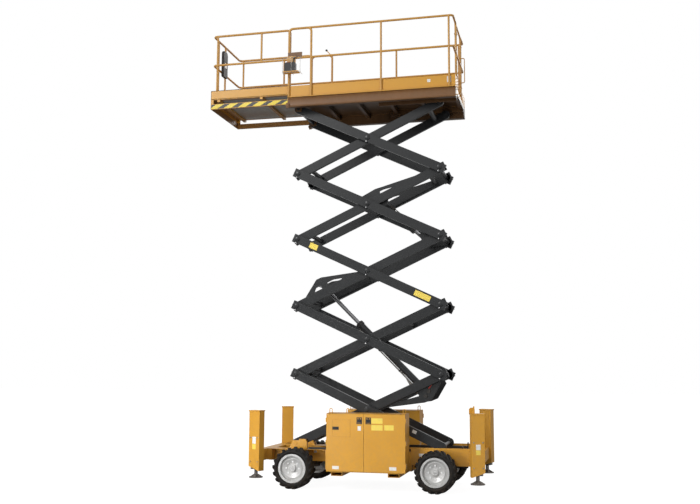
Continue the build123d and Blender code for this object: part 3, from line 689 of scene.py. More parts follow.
cabinetStickers = [
    dict(finish="labelWhite", x=(-0.060, -0.008), z=(0.942, 1.012)),
    dict(finish="labelYellow", x=(0.160, 0.340), z=(1.054, 1.138)),
    dict(finish="labelYellow", x=(0.160, 0.340), z=(0.950, 1.034)),
    dict(finish="labelYellow", x=(0.366, 0.516), z=(0.954, 1.034)),
    dict(finish="labelWhite", x=(-0.468, -0.360), z=(0.342, 0.392)),
    dict(finish="labelWhite", x=(0.444, 0.556), z=(0.346, 0.398)),
]


def addBorder(mesh, x, y, z, rimX, rimZ):
    # an upright rectangle's border: a bar below and above, and one at each side between them
    for span in ((z[0], z[0] + rimZ), (z[1] - rimZ, z[1])):
        addBox(mesh, (x[0], y[0], span[0]), (x[1], y[1], span[1]))
    for span in ((x[0], x[0] + rimX), (x[1] - rimX, x[1])):
        addBox(mesh, (span[0], y[0], z[0] + rimZ), (span[1], y[1], z[1] - rimZ))


def makeLatches(side):
    # paddle latches either side of the seam, each on the door that it opens
    look = latchDesign
    sign, face = sides[side], cabinetDesign["face"]
    w, h = look["width"] / 2, look["height"] / 2
    bottom, top = look["z"] - h, look["z"] + h
    faces = sorted((sign * face, sign * (face + look["proud"])))
    for x, leaf in zip(look["x"], ("left", "right")):
        mesh = bmesh.new()
        addBorder(mesh, (x - w, x + w), faces, (bottom, top), *look["rim"])
        addBox(mesh, (x - w + look["paddleSide"], faces[0], bottom + look["paddleFoot"]),
               (x + w - look["paddleSide"], faces[1] + look["paddleProud"], top - look["paddleHead"]))
        lock = top - look["lockDown"]
        addRod(mesh, (x, sign * face, lock), (x, sign * (face + look["lockProud"]), lock), look["lockRadius"])
        finishMesh(mesh, f"latch_{side}_{leaf}", "blackPlastic", f"door_{side}_{leaf}")


def makeDoorDressing():
    # only the near side's doors show a hatch, a handle and stickers
    face = -cabinetDesign["face"]
    look = hatchDesign
    (x0, x1), (z0, z1) = look["x"], look["z"]
    mesh = bmesh.new()
    addBorder(mesh, look["x"], (face - look["proud"], face), look["z"], look["rim"], look["rim"])
    inset = look["rim"] + look["gap"]
    addBox(mesh, (x0 + inset, face - look["panelProud"], z0 + inset), (x1 - inset, face, z1 - inset))
    finishMesh(mesh, "cabinet_hatch", "bodyYellow", "door_near_left")
    look = handleDesign
    (x0, x1), (z0, z1), rim = look["x"], look["z"], look["rim"]
    mesh = bmesh.new()
    for low, high, proud in ((z0, z0 + rim, look["proud"]), (z1 - rim, z1, look["proud"]),
                             (z0 + rim, z1 - rim, look["floorProud"])):
        addBox(mesh, (x0, face - proud, low), (x1, face, high))
    finishMesh(mesh, "hatch_handle", "blackPlastic", "door_near_left")
    for i, sticker in enumerate(cabinetStickers, 1):
        leaf = "left" if sticker["x"][0] < 0 else "right"
        makeSticker(f"door_sticker_{i}", sticker, cabinetDesign["face"], f"door_near_{leaf}")


def makeCabinetEyes(side):
    look = eyeDesign
    y, base = sides[side] * look["y"], boxOf(f"cabinet_{side}")[1].z
    plate, half = look["plateHalf"], look["half"]
    mesh = bmesh.new()
    for x in look["x"]:
        addBox(mesh, (x - plate, y - plate, base), (x + plate, y + plate, base + look["plateThickness"]))
        addTube(mesh, [(x - half, y, base), (x - half, y, look["top"]), (x + half, y, look["top"]),
                       (x + half, y, base)], look["wire"], half)
    finishMesh(mesh, f"cabinet_eyes_{side}", "bodyYellow", "chassis")


def makeHingeBolts(side):
    look = hingeDesign
    low, high = boxOf(f"cabinet_{side}")
    row = growBolts(boltRow, look["row"])
    turn = Matrix.Rotation(math.pi / 2, 4, "Z")
    parts = [(row, Matrix.Translation((x, sides[side] * look["y"], z)) @ turn)
             for x in (low.x - look["stand"], high.x + look["stand"]) for z in look["heights"]]
    settleBolts(parts, f"hinge_bolts_{side}", "chassis")


# chassis: rubber strip, hydraulic cylinder on its clamps, stop block, stickers, steering cylinder, tie rods

chassisDesign = dict(
    strip=((-0.98, -0.500, 0.600), (-0.69, -0.440, 0.634)),
    cylinder=((1.40, -0.400, 0.398), (1.61, -0.400, 0.398)), cylinderRadius=0.036, clampX=(1.43, 1.58),
    clampHalf=0.012, clampY=(-0.430, -0.370), clampZ=(0.396, 0.440), block=[(-1.157, 0.600),
    (-1.003, 0.600), (-1.003, 0.720), (-1.030, 0.765), (-1.130, 0.765), (-1.157, 0.720)],
    blockY=(-0.500, -0.440))
chassisStickers = [
    dict(x=(-0.930, -0.880), z=(0.535, 0.590), face=0.330),
    dict(x=(0.850, 0.930), z=(0.535, 0.580), face=0.530),
]
steeringDesign = dict(
    ahead=0.035, half=0.22, radius=0.030, tieReach=0.46, tieRadius=0.016, lugY=(-0.15, 0.15),
    lugHalf=(0.020, 0.015, 0.036))


def makeChassisFittings():
    look = chassisDesign
    mesh = bmesh.new()
    addBox(mesh, *look["strip"])
    addRod(mesh, *look["cylinder"], look["cylinderRadius"], 20)
    for x in look["clampX"]:
        addBox(mesh, (x - look["clampHalf"], look["clampY"][0], look["clampZ"][0]),
               (x + look["clampHalf"], look["clampY"][1], look["clampZ"][1]))
    finishMesh(mesh, "chassis_black_parts", "castBlack", "chassis")
    mesh = bmesh.new()
    addPlate(mesh, look["block"], *look["blockY"])
    finishMesh(mesh, "chassis_stop_block", "bodyYellow", "chassis")
    for i, sticker in enumerate(chassisStickers, 1):
        makeSticker(f"chassis_sticker_{i}", sticker, sticker["face"], "chassis")


def makeSteeringLink():
    # in front of the steered axle
    look = steeringDesign
    front = boxOf("axle_front")[0].x
    x, z, half = front - look["ahead"], pins["roll_front_near"].z, look["half"]
    mesh = bmesh.new()
    addRod(mesh, (x, -half, z), (x, half, z), look["radius"], 20)
    for start, end in ((-look["tieReach"], -half), (half, look["tieReach"])):
        addRod(mesh, (x, start, z), (x, end, z), look["tieRadius"], 14)
    lugX, lugY, lugZ = look["lugHalf"]
    for y in look["lugY"]:
        addBox(mesh, (x - lugX, y - lugY, z - lugZ), (front + lugX, y + lugY, z + lugZ))
    finishMesh(mesh, "steering_cylinder", "castBlack", "chassis")


# outriggers: square tubes cut on a slant, each under an overhanging cap, with foot ribs, bolts, stickers

outriggerDesign = dict(
    turn=17.0, width=0.220, depth=0.150, wall=0.006, cutLow=0.275, cutHigh=0.346, brim=0.008, cap=0.018,
    roofGap=0.004, boltX=(-0.070, 0.070), boltZ=(0.42, 0.80),
    bolt=[(0, 0), (0.011, 0), (0.011, 0.007), (0, 0.007)])
footDesign = dict(
    padTop=0.016, collar=[(0.034, -0.001), (0.060, -0.001), (0.034, 0.030)], ribCount=6, ribHalf=0.004,
    rib=[(0.027, 0), (0.092, 0), (0.092, 0.008), (0.027, 0.045)])
tabDesign = dict(
    outline=[(-0.110, -0.010), (-0.020, -0.010), (-0.020, 0.060), (-0.040, 0.085), (-0.090, 0.085),
    (-0.110, 0.060)], y=(0.001, 0.009),
    small=[(-0.085, -0.010), (-0.040, -0.010), (-0.040, 0.110), (-0.060, 0.110)], smallShare=-0.2,
    smallThickness=0.008)
outriggerStickers = {
    "left": (("upper", dict(finish="labelWhite", x=(-0.035, 0.035), z=(0.702, 0.812))),
             ("lower", dict(finish="labelYellow", x=(-0.035, 0.035), z=(0.615, 0.698)))),
    "right": (("upper", dict(finish="labelWhite", x=(-0.035, 0.035), z=(0.690, 0.770))),
              ("lower", dict(finish="labelYellow", x=(-0.035, 0.035), z=(0.615, 0.686)))),
}


def outriggerPlace(end, side):
    low, high = boxOf(f"outrigger_housing_{end}_{side}")
    centre = (low + high) / 2
    turn = math.radians(outriggerDesign["turn"]) * (1 if end == "right" else -1)
    angle = turn if side == "near" else math.pi - turn
    return Matrix.Translation((centre.x, centre.y, 0)) @ Matrix.Rotation(angle, 4, "Z")


def makeHousing(end, side):
    look = outriggerDesign
    node = f"outrigger_housing_{end}_{side}"
    place = outriggerPlace(end, side)
    top = boxOf(node)[1].z
    brim, slant = look["brim"], look["cutHigh"] - look["cutLow"]
    w, d = look["width"] / 2 - brim, look["depth"] / 2 - brim
    outward = (1 if end == "right" else -1) * (1 if side == "near" else -1)
    mesh = bmesh.new()
    rings = []
    for inset, roof in ((0.0, top - look["roofGap"]), (look["wall"], top - look["cap"])):
        corners = [(sx * (w - inset), sy * (d - inset)) for sx, sy in ((-1, -1), (1, -1), (1, 1), (-1, 1))]
        foot = [(x, y, look["cutLow"] + slant * (outward * x / w + 1) / 2) for x, y in corners]
        for ring in (foot, [(x, y, roof) for x, y in corners]):
            rings.append(addRing(mesh, [place @ Vector(point) for point in ring]))
    outerFoot, outerRoof, innerFoot, innerRoof = rings
    for lower, upper in ((outerFoot, outerRoof), (innerFoot, innerRoof), (outerFoot, innerFoot)):
        bridge(mesh, lower, upper)
    mesh.faces.new(outerRoof)
    mesh.faces.new(innerRoof)
    addBox(mesh, (-w - brim, -d - brim, top - look["cap"]), (w + brim, d + brim, top), place)
    housing = finishMesh(mesh, f"capped_{node}", "bodyYellow", "chassis")
    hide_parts(node)


def makeFootRibs(end, side):
    look = footDesign
    place = outriggerPlace(end, side)
    place @= Matrix.Translation((0, 0, boxOf(f"outrigger_leg_{end}_{side}")[0].z + look["padTop"]))
    mesh = bmesh.new()
    addLathe(mesh, look["collar"], place, 20)
    for i in range(look["ribCount"]):
        turn = Matrix.Rotation(2 * math.pi * i / look["ribCount"], 4, "Z")
        addPlate(mesh, look["rib"], -look["ribHalf"], look["ribHalf"], place @ turn)
    finishMesh(mesh, f"foot_ribs_{end}_{side}", "bareSteel", f"leg_{end}_{side}")


def makeOutriggerFittings(end, side):
    look = outriggerDesign
    place = outriggerPlace(end, side)
    face = look["depth"] / 2 - look["brim"]
    mesh = bmesh.new()
    for z in look["boltZ"]:
        for x in look["boltX"]:
            seat = Matrix.Translation((x, -face, z)) @ Matrix.Rotation(math.pi / 2, 4, "X")
            addLathe(mesh, look["bolt"], place @ seat, 6)
    finishMesh(mesh, f"outrigger_bolts_{end}_{side}", "zincPlate", "chassis")
    if side == "near":
        for name, sticker in outriggerStickers[end]:
            makeSticker(f"outrigger_sticker_{name}_{end}", sticker, face, "chassis", place=place)
    if end == "right" and side == "near":
        look = tabDesign
        place @= Matrix.Translation((0, 0, boxOf(f"outrigger_housing_{end}_{side}")[1].z))
        mesh = bmesh.new()
        addPlate(mesh, look["outline"], *[face + y for y in look["y"]], place)
        middle = face * look["smallShare"]
        addPlate(mesh, look["small"], middle, middle + look["smallThickness"], place)
        finishMesh(mesh, "outrigger_lifting_tabs", "bodyYellow", "chassis")


# lift cylinders: pipes along the barrel (x) with ports and saddles, gland rings and a valve block

cylinderDesign = {
    "lower": dict(length=1.700, radius=0.057, pipes=(-0.030, 0.030), reach=(0.16, 1.60)),
    "upper": dict(length=0.640, radius=0.050, pipes=(0.0,), reach=(0.12, 0.55)),
}
cylinderFitting = dict(
    pipeRadius=0.008, pipeStand=0.018, pipeBend=0.03, pipeSink=0.01, port=(0.018, 0.014),
    portZ=(-0.012, 0.008), saddle=(0.012, 0.042), saddleZ=(-0.012, 0.028), glands=(0.055, 0.030),
    glandStand=0.011, glandLength=0.012, valveX=(0.020, 0.120), valveHalf=0.026, valveZ=(-0.02, 0.040))
lowerHoses = dict(
    radius=0.009,
    routes=((0.12, ((0.070, 0.030, 0.085), (0.20, 0.060, 0.120), (0.42, 0.062, 0.100), (0.62, 0.058, 0.066))),
    (0.10, ((0.070, -0.022, 0.085), (0.16, -0.060, 0.118), (0.36, -0.066, 0.104), (0.50, -0.062, 0.062)))))
loweringDesign = dict(
    lever=((0.985, -0.3675, 1.590), (1.035, -0.3675, 1.655)), leverRadius=0.0065,
    block=((0.955, -0.3740, 1.520), (1.015, -0.3605, 1.592)),
    knob=((0.940, -0.3605, 1.475), (0.940, -0.3740, 1.475)), knobRadius=0.030)


def makeCylinderFittings(name):
    size, look = cylinderDesign[name], cylinderFitting
    axis = Vector(joints[f"{name}_cylinder_stroke"]["axis"])
    turn = Matrix.Rotation(math.atan2(-axis.z, axis.x), 4, "Y")
    place = Matrix.Translation(pins[f"{name}_cylinder_tilt"]) @ turn
    radius, (start, end) = size["radius"], size["reach"]
    third = (end - start) / 3
    pipeHigh, pipeLow = radius + look["pipeStand"], radius - look["pipeSink"]

    def addBlock(x, y, halves, z):
        low, high = ((x + k * halves[0], y + k * halves[1], radius + height) for k, height in zip((-1, 1), z))
        addBox(mesh, low, high, place)

    mesh = bmesh.new()
    for y in size["pipes"]:
        addTube(mesh, [(start, y, pipeLow), (start, y, pipeHigh), (end, y, pipeHigh), (end, y, pipeLow)],
                look["pipeRadius"], look["pipeBend"], place=place)
    finishMesh(mesh, f"{name}_cylinder_pipes", "zincPlate", f"{name}_barrel", 60.0)
    mesh = bmesh.new()
    for x in (start, end):
        for y in size["pipes"]:
            addBlock(x, y, look["port"], look["portZ"])
    for x in (start + third, start + 2 * third):
        addBlock(x, 0, look["saddle"], look["saddleZ"])
    for back in look["glands"]:
        x, collar = size["length"] - back, radius + look["glandStand"]
        tip = x + look["glandLength"]
        profile = [(radius, x), (collar, x), (collar, tip), (radius, tip)]
        addLathe(mesh, profile, place @ Matrix.Rotation(math.pi / 2, 4, "Y"), 28)
    valveStart, valveEnd = look["valveX"]
    addBlock((valveStart + valveEnd) / 2, 0, ((valveEnd - valveStart) / 2, look["valveHalf"]), look["valveZ"])
    finishMesh(mesh, f"{name}_cylinder_blocks", "castBlack", f"{name}_barrel")
    return place


def makeLowering(place):
    # hoses on the lower barrel, and the lowering valve with its lever on the first inner arm
    mesh = bmesh.new()
    for bend, route in lowerHoses["routes"]:
        addTube(mesh, route, lowerHoses["radius"], bend, place=place)
    finishMesh(mesh, "lower_cylinder_hoses", "zincPlate", "lower_barrel", 60.0)
    look = loweringDesign
    mesh = bmesh.new()
    addRod(mesh, *look["lever"], look["leverRadius"])
    finishMesh(mesh, "lowering_lever", "leverRed", "inner_1")
    mesh = bmesh.new()
    addBox(mesh, *look["block"])
    addRod(mesh, *look["knob"], look["knobRadius"], 18)
    finishMesh(mesh, "lowering_valve", "castBlack", "inner_1")


# platform: curved channels under the ledge, end plate, loops and rollers at the deck's ends

platformDesign = dict(halfWidth=0.684, endInset=0.002)
channelDesign = dict(
    ledge=0.032, bottom=6.310, top=6.479, back=-0.001,
    upper=((0.020, -0.004), (0.010, -0.016), (0.004, -0.036), (0.002, -0.060)),
    lower=((0.002, 0.050), (0.006, 0.026), (0.015, 0.010)), lip=0.002)
endPlateDesign = dict(
    y=(0.522, 0.682), top=6.486, barBottom=6.414, footBottom=6.322, inside=0.001, proud=0.0015, slotCount=9,
    slotFirst=6.330, slotPitch=0.017, slotHeight=0.009, slotInset=0.012, slotProud=0.003)
loopDesign = dict(
    places=((-0.45, 6.555, 6.655), (-0.60, 6.345, 6.480)), half=0.075, inside=0.002, reach=0.055,
    wire=0.006, bend=0.035)
rollerDesign = dict(
    y=0.700, ahead=0.006, lift=0.070, profile=[(0, -0.012), (0.026, -0.012), (0.030, -0.006),
    (0.030, 0.006), (0.026, 0.012), (0, 0.012)], plateX=(-0.020, 0.030), plateY=(-0.006, 0.004),
    plateZ=(0.020, 0.110))


def makeDeckChannels():
    look = channelDesign
    low, high = boxOf("platform_deck")
    bottom, top, ledge, back = look["bottom"], look["top"], look["ledge"], look["back"]
    curve = [(ledge, top)] + [(out, top + z) for out, z in look["upper"]]
    curve += [(out, bottom + z) for out, z in look["lower"]]
    curve += [(ledge, bottom + look["lip"]), (ledge, bottom), (back, bottom), (back, top)]
    half, inset = platformDesign["halfWidth"], platformDesign["endInset"]
    ends = (low.x + inset, high.x - inset)
    mesh = bmesh.new()
    for sign in (-1, 1):
        addSkin(mesh, [addRing(mesh, [(x, sign * (half + out), z) for out, z in curve]) for x in ends])
    # the channels take the shaded copy of the body yellow: painted shade under the ledge
    finishMesh(mesh, "deck_side_channels", "shadedYellow", "platform")


def makeDeckEnd():
    # galvanised slotted plate and grab loops at the right end, rollers at the left
    low, high = boxOf("platform_deck")
    look = endPlateDesign
    span = (high.x - look["inside"], high.x + look["proud"])
    inner, outer = look["y"]
    slot = (inner + look["slotInset"], outer - look["slotInset"])
    mesh = bmesh.new()
    addBox(mesh, (span[0], -inner, look["barBottom"]), (span[1], inner, look["top"]))
    addBoxPair(mesh, span, look["y"], (look["footBottom"], look["top"]))
    for i in range(look["slotCount"]):
        z = look["slotFirst"] + i * look["slotPitch"]
        addBoxPair(mesh, (span[0], high.x + look["slotProud"]), slot, (z, z + look["slotHeight"]))
    finishMesh(mesh, "deck_end_plate", "zincPlate", "platform")
    look = loopDesign
    near, far = high.x - look["inside"], high.x + look["reach"]
    mesh = bmesh.new()
    for middle, z0, z1 in look["places"]:
        for y in (middle - look["half"], middle + look["half"]):
            path = [(near, y, z0), (far, y, z0), (far, y, z1), (near, y, z1)]
            addTube(mesh, path, look["wire"], look["bend"])
    finishMesh(mesh, "deck_end_loops", "railYellow", "platform", smooth=60.0)
    look = rollerDesign
    mesh = bmesh.new()
    for sign in (-1, 1):
        y = sign * look["y"]
        seat = Matrix.Translation((low.x - look["ahead"], y, low.z + look["lift"]))
        addLathe(mesh, look["profile"], seat @ Matrix.Rotation(math.pi / 2, 4, "X"), 20)
        spans = zip(look["plateX"], look["plateY"], look["plateZ"])
        addBox(mesh, *[(low.x + dx, y + dy, low.z + dz) for dx, dy, dz in spans])
    # the rollers and their plates take the shaded copy of the body yellow: painted shade
    finishMesh(mesh, "deck_end_rollers", "shadedYellow", "platform")


# roll-out deck: striped beams, toe boards with an open gap above the beams, floor on cross bars, panels

extensionDesign = dict(
    y=(0.640, 0.670), beamHeight=0.090, floor=0.165, floorThickness=0.008, tail=0.040, boardThickness=0.006,
    boardStand=0.012, postDepth=0.020, postLength=0.050, flange=0.012, topFlange=(-0.008, 0.0),
    lowFlange=(0.010, 0.018), barStarts=(0.120, 0.900), barDepth=0.039, barInset=0.001, endThickness=0.006,
    panelStart=0.055, panelHalf=0.600, panelZ=(-0.004, 0.001), stripeStart=0.012, stripeEnd=0.010,
    stripeInset=0.008)


def makeExtensionDeck():
    look = extensionDesign
    low, high = boxOf("extension_deck")
    mainStart = boxOf("platform_deck")[0].x
    x0, x1 = low.x, mainStart + look["tail"]
    y0, y1 = look["y"]
    z0, z1, floor, top = low.z, low.z + look["beamHeight"], low.z + look["floor"], high.z
    post = look["postLength"]
    bars = [x0 + start for start in look["barStarts"]] + [x1 - post]
    mesh = bmesh.new()
    addBox(mesh, (x0, -y1, floor), (x1, y1, floor + look["floorThickness"]))
    addBoxPair(mesh, (x0, high.x), (y0, y1), (z0, z1))
    addBoxPair(mesh, (x0, x1), (y1 - look["boardThickness"], y1), (floor + look["boardStand"], top))
    for x in (x0, x1 - post):
        addBoxPair(mesh, (x, x + post), (y1 - look["postDepth"], y1), (z1, floor))
    for base, flange in ((top, look["topFlange"]), (floor, look["lowFlange"])):
        addBoxPair(mesh, (x0, x1), (y1 - look["flange"], y1), [base + z for z in flange])
    barReach = y1 - look["barInset"]
    for x in bars:
        addBox(mesh, (x, -barReach, floor - look["barDepth"]), (x + post, barReach, floor))
    addBox(mesh, (x0, -y1, z0), (x0 + look["endThickness"], y1, top))
    # the roll-out deck takes the yellow with painted shade, a brown, underneath and inside its frame
    deck = finishMesh(mesh, "open_extension_deck", "extensionYellow", "extension")
    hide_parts("extension_deck")
    mesh = bmesh.new()
    for before, after in zip(bars, bars[1:]):
        addBox(mesh, (before + look["panelStart"], -look["panelHalf"], floor + look["panelZ"][0]),
               (after - (look["panelStart"] - post), look["panelHalf"], floor + look["panelZ"][1]))
    finishMesh(mesh, "extension_floor_panels", "zincPlate", "extension")
    mesh = bmesh.new()
    addBoxPair(mesh, (x0 + look["stripeStart"], mainStart - look["stripeEnd"]), (y1, y1 + stickerThickness),
               (z0 + look["stripeInset"], z1 - look["stripeInset"]))
    finishMesh(mesh, "extension_stripes", "hazardStripe", "extension")


# control box: a box on a bracket with a joystick, switches, a wire guard and a relay box; sizes are from the
# corners of its envelope, then from the corners of the box itself

controlDesign = dict(
    x=(0.030, -0.100), y=(0.012, -0.030), z=(0.035, 0.180), rim=0.012, rimHeight=0.010,
    stick=(-0.045, -0.030, 0.075), stickRadius=0.011, knob=(-0.022, 0.110), knobRadius=0.018,
    bracketX=(-0.020, 0.060), bracketY=(-0.006, 0.024), bracketThickness=0.014, hangerX=0.02,
    hangerDepth=0.0315, hangerRise=0.055, buttonX=(0.030, 0.060, 0.090), buttonY=0.045,
    buttonZ=(0.008, 0.026), buttonRadius=0.008, stop=(0.050, 0.085), stopZ=(0.008, 0.030), stopRadius=0.016)
guardDesign = dict(
    wire=0.0035, x=(0.004, -0.006), front=0.004, back=-0.004, z=(0.006, -0.004), hook=(0.0015, 0.030),
    bend=0.04, barInset=0.002)
relayDesign = dict(x=(0.055, -0.015), y=(-0.002, 0.020), z=(7.180, 7.262))


def makeControlBox():
    look = controlDesign
    low, high = boxOf("control_box")
    x0, x1 = low.x + look["x"][0], high.x + look["x"][1]
    y0, y1 = low.y + look["y"][0], high.y + look["y"][1]
    z0, z1 = low.z + look["z"][0], low.z + look["z"][1]
    middle, rim = (y0 + y1) / 2, look["rim"]
    foot, bend, height = look["stick"]
    mesh = bmesh.new()
    addBox(mesh, (x0, y0, z0), (x1, y1, z1))
    addBox(mesh, (x0 + rim, y0 + rim, z1), (x1 - rim, y1 - rim, z1 + look["rimHeight"]))
    addRod(mesh, (x1 + foot, middle, z1), (x1 + bend, middle, z1 + height), look["stickRadius"])
    addRod(mesh, (x1 + bend, middle, z1 + height), (x1 + look["knob"][0], middle, z1 + look["knob"][1]),
           look["knobRadius"], 14)
    box = finishMesh(mesh, "control_box_body", "blackPlastic", "platform")
    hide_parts("control_box")
    mesh = bmesh.new()
    addBox(mesh, (x0 + look["bracketX"][0], y0 + look["bracketY"][0], z0 - look["bracketThickness"]),
           (x1 + look["bracketX"][1], y1 + look["bracketY"][1], z0))
    addBox(mesh, (x0 + look["hangerX"], y1, z0),
           (x1 - look["hangerX"], y1 + look["hangerDepth"], high.z + look["hangerRise"]))
    finishMesh(mesh, "control_box_bracket", "railYellow", "platform")
    mesh = bmesh.new()
    buttons = [(x, look["buttonY"], look["buttonZ"], look["buttonRadius"], 10) for x in look["buttonX"]]
    buttons.append((*look["stop"], look["stopZ"], look["stopRadius"], 14))
    for x, y, (foot, head), radius, corners in buttons:
        addRod(mesh, (x0 + x, y0 + y, z1 + foot), (x0 + x, y0 + y, z1 + head), radius, corners)
    finishMesh(mesh, "control_box_buttons", "leverRed", "platform")
    look = guardDesign
    left, right = low.x + look["x"][0], high.x + look["x"][1]
    bottom, top = low.z + look["z"][0], high.z + look["z"][1]
    front, back = low.y + look["front"], high.y + look["back"]
    mesh = bmesh.new()
    for x in (left, (left + right) / 2, right):
        hook = (x, high.y + look["hook"][0], top + look["hook"][1])
        path = [(x, back, bottom), (x, front, bottom), (x, front, top), hook]
        addTube(mesh, path, look["wire"], look["bend"])
    for z in (bottom, top):
        y = front + look["barInset"]
        addRod(mesh, (left, y, z), (right, y, z), look["wire"], 8)
    finishMesh(mesh, "control_box_guard", "zincPlate", "platform", 60.0)
    look = relayDesign
    mesh = bmesh.new()
    addBox(mesh, (low.x + look["x"][0], high.y + look["y"][0], look["z"][0]),
           (high.x + look["x"][1], high.y + look["y"][1], look["z"][1]))
    # the relay box takes the shaded copy of the body yellow: painted shade
    finishMesh(mesh, "control_box_relay", "shadedYellow", "platform")


# document box: a shell with cut corners, a lid's edge and a sticker; sizes are from its middle

documentDesign = dict(
    outline=[(-0.080, -0.240), (0.080, -0.240), (0.090, -0.225), (0.090, 0.185), (0.060, 0.232),
    (-0.060, 0.232), (-0.090, 0.185), (-0.090, -0.225)], depth=(-0.018, 0.030),
    lid=((-0.090, -0.021, 0.040), (0.090, -0.017, 0.052)),
    sticker=((-0.045, -0.0192, -0.070), (0.045, -0.018, 0.020)))


def makeDocumentBox():
    look = documentDesign
    low, high = boxOf("manual_box")
    place = Matrix.Translation((low + high) / 2) @ Matrix.Rotation(math.pi / 2, 4, "Z")
    mesh = bmesh.new()
    addPlate(mesh, look["outline"], *look["depth"], place)
    addBox(mesh, *look["lid"], place)
    box = finishMesh(mesh, "document_box", "blackPlastic", "extension")
    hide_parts("manual_box")
    mesh = bmesh.new()
    addBox(mesh, *look["sticker"], place)
    finishMesh(mesh, "document_box_sticker", "labelWhite", "extension")


# rails: end posts, a knobbed lever, bends of the hoops, the gate's pull, and blank stickers on the toe board

railDesign = dict(
    postX=0.019, postY=(-0.420, -0.100), postRadius=0.017, postTop=0.019,
    lever=((-0.600, -0.7035, 7.180), (-0.655, -0.700, 7.245)), leverRadius=0.008,
    knobPlace=(-0.668, -0.700, 7.258),
    knob=[(0, -0.020), (0.014, -0.014), (0.020, 0), (0.014, 0.014), (0, 0.020)], hoopX=(-1.3290, -0.9370),
    hoopY=0.7035, hoopZ=(7.560, 7.6895), hoopRadius=0.0192, hoopBend=0.10, pullBack=0.004, pullReach=0.062,
    pullY=0.297, pullZ=(6.850, 7.290), pullRadius=0.008, pullBend=0.045)
toeBoardStickers = [dict(x=(1.046, 1.100), z=(6.582, 6.632)), dict(x=(1.372, 1.440), z=(6.560, 6.662))]


def makeRailDressing():
    look = railDesign
    low, high = boxOf("extension_rails")
    x = low.x + look["postX"]
    mesh = bmesh.new()
    for y in look["postY"]:
        addRod(mesh, (x, y, low.z), (x, y, high.z - look["postTop"]), look["postRadius"], 14)
    finishMesh(mesh, "extension_end_posts", "railYellow", "extension", smooth=60.0)
    mesh = bmesh.new()
    addRod(mesh, *look["lever"], look["leverRadius"], 10)
    finishMesh(mesh, "rail_lever", "railYellow", "platform")
    mesh = bmesh.new()
    addLathe(mesh, look["knob"], Matrix.Translation(look["knobPlace"]), 14)
    finishMesh(mesh, "rail_lever_knob", "blackPlastic", "platform", smooth=80.0)
    (left, right), (bottom, top) = look["hoopX"], look["hoopZ"]
    mesh = bmesh.new()
    for y in (-look["hoopY"], look["hoopY"]):
        addTube(mesh, [(left, y, bottom), (left, y, top), (right, y, top), (right, y, bottom)],
                look["hoopRadius"], look["hoopBend"], 12)
    finishMesh(mesh, "hoop_bends", "railYellow", "platform", smooth=60.0)
    near = boxOf("platform_gate")[1].x - look["pullBack"]
    far, y, (bottom, top) = near + look["pullReach"], look["pullY"], look["pullZ"]
    mesh = bmesh.new()
    addTube(mesh, [(near, y, bottom), (far, y, bottom), (far, y, top), (near, y, top)],
            look["pullRadius"], look["pullBend"], 10)
    finishMesh(mesh, "gate_pull", "railYellow", "gate", smooth=60.0)
    for i, sticker in enumerate(toeBoardStickers, 1):
        makeSticker(f"toe_board_sticker_{i}", sticker, platformDesign["halfWidth"], "platform")


# every piece

for end in ("front", "rear"):
    for side in sides:
        makeTyre(end, side)
        makeWheelFittings(end, side)
print("wheels ready")

for stage in range(1, stageCount + 1):
    makeArmFittings(stage)
    makeInnerArmEnds(stage)
makeArmStickers()
lowerPlace = makeCylinderFittings("lower")
makeLowering(lowerPlace)
makeCylinderFittings("upper")
print("scissor ready")

for side in sides:
    makeLatches(side)
    makeCabinetEyes(side)
    makeHingeBolts(side)
makeDoorDressing()
makeChassisFittings()
makeSteeringLink()
print("chassis ready")

for end in ("left", "right"):
    for side in sides:
        makeHousing(end, side)
        makeFootRibs(end, side)
        makeOutriggerFittings(end, side)
print("outriggers ready")

makeDeckChannels()
makeDeckEnd()
makeExtensionDeck()
makeControlBox()
makeDocumentBox()
makeRailDressing()
print("platform ready")


# studio: pale floor, soft lights, camera

studio = dict(
    floorHalf=60.0, floorShade=0.94, bounceShade=0.22, shadowShare=0.22, floorGlow=1.2, skyLight=0.62)
cameraPlace = dict(
    position=(3.1694, -14.8525, 1.8905), turn=0.2366, tilt=0.1303, roll=0.0043, lens=46.17, sensor=36.0)
lamps = [
    dict(name="key", position=(-15, -24, 20), target=(0, 0, 3.0), size=10, power=3000, glossy=True),
    dict(name="front", position=(-3.6, -7.5, 0.9), target=(0, -0.9, 0.7), size=3, power=430, glossy=False),
    dict(name="fill", position=(24, -20, 10), target=(0, 0, 3.5), size=14, power=900, glossy=True),
    dict(name="back", position=(6, 24, 20), target=(0, 0, 4.5), size=12, power=1200, glossy=True),
]


def seenDirectly(tree):
    # 1 for what the camera sees, also through glass
    rays = addNode(tree, "ShaderNodeLightPath").outputs
    return mathNode(tree, "ADD", rays["Is Camera Ray"], rays["Is Transmission Ray"], clamp=True)


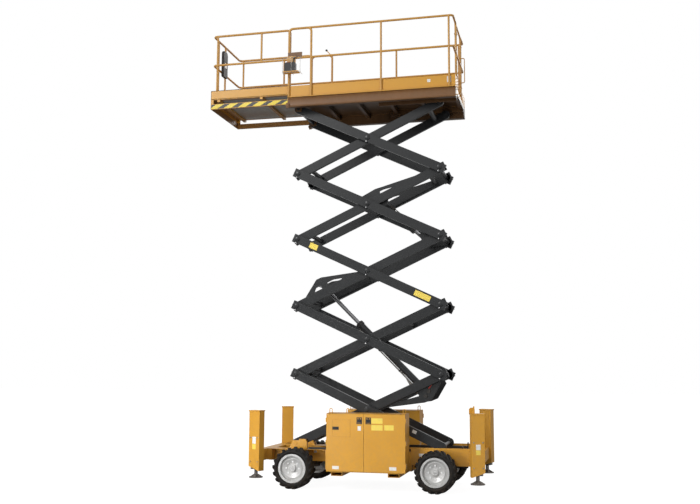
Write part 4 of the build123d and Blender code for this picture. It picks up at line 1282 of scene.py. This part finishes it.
def makeFloor():
    look, half = studio, studio["floorHalf"]
    mesh = bpy.data.meshes.new("studio_floor")
    corners = [(-half, -half, 0), (half, -half, 0), (half, half, 0), (-half, half, 0)]
    mesh.from_pydata(corners, [], [(0, 1, 2, 3)])
    floor = bpy.data.objects.new("studio_floor", mesh)
    bpy.context.scene.collection.objects.link(floor)
    material = bpy.data.materials.new("studioFloor")
    material.use_nodes = True
    tree = material.node_tree
    tree.nodes.clear()
    seen = seenDirectly(tree)
    shade = mixColour(tree, seen, opaque((look["bounceShade"],) * 3), opaque((look["floorShade"],) * 3))
    matte = addNode(tree, "ShaderNodeBsdfDiffuse", {"Color": shade})
    glow = addNode(tree, "ShaderNodeEmission", {"Strength": look["floorGlow"]})
    share = mathNode(tree, "MULTIPLY", seen, 1.0 - look["shadowShare"])
    blend = addNode(tree, "ShaderNodeMixShader", {0: share, 1: matte.outputs[0], 2: glow.outputs[0]})
    addNode(tree, "ShaderNodeOutputMaterial", {"Surface": blend.outputs[0]})
    mesh.materials.append(material)


def makeSky():
    world = bpy.data.worlds.new("studioSky")
    bpy.context.scene.world = world
    world.use_nodes = True
    tree = world.node_tree
    tree.nodes.clear()
    rest = mathNode(tree, "MULTIPLY", seenDirectly(tree), 1.0 - studio["skyLight"])
    strength = mathNode(tree, "ADD", rest, studio["skyLight"])
    sky = addNode(tree, "ShaderNodeBackground", {"Color": (1, 1, 1, 1), "Strength": strength})
    addNode(tree, "ShaderNodeOutputWorld", {"Surface": sky.outputs[0]})


def makeLamp(lamp):
    light = bpy.data.lights.new(lamp["name"], "AREA")
    light.size = lamp["size"]
    light.energy = lamp["power"]
    holder = bpy.data.objects.new(lamp["name"], light)
    position = Vector(lamp["position"])
    holder.location = position
    holder.visible_glossy = lamp["glossy"]
    holder.rotation_euler = (Vector(lamp["target"]) - position).to_track_quat("-Z", "Y").to_euler()
    bpy.context.scene.collection.objects.link(holder)


def makeCamera():
    look = cameraPlace
    lens = bpy.data.cameras.new("camera")
    lens.lens = look["lens"]
    lens.sensor_width = look["sensor"]
    camera = bpy.data.objects.new("camera", lens)
    turn = Matrix.Rotation(look["turn"], 4, "Z") @ Matrix.Rotation(math.pi / 2 + look["tilt"], 4, "X")
    turn = turn @ Matrix.Rotation(look["roll"], 4, "Z")
    camera.matrix_world = Matrix.Translation(look["position"]) @ turn
    bpy.context.scene.collection.objects.link(camera)
    bpy.context.scene.camera = camera


makeFloor()
makeSky()
for lamp in lamps:
    makeLamp(lamp)
makeCamera()
bpy.context.scene.view_settings.view_transform = "Standard"
print("studio ready")

bpy.context.view_layer.update()
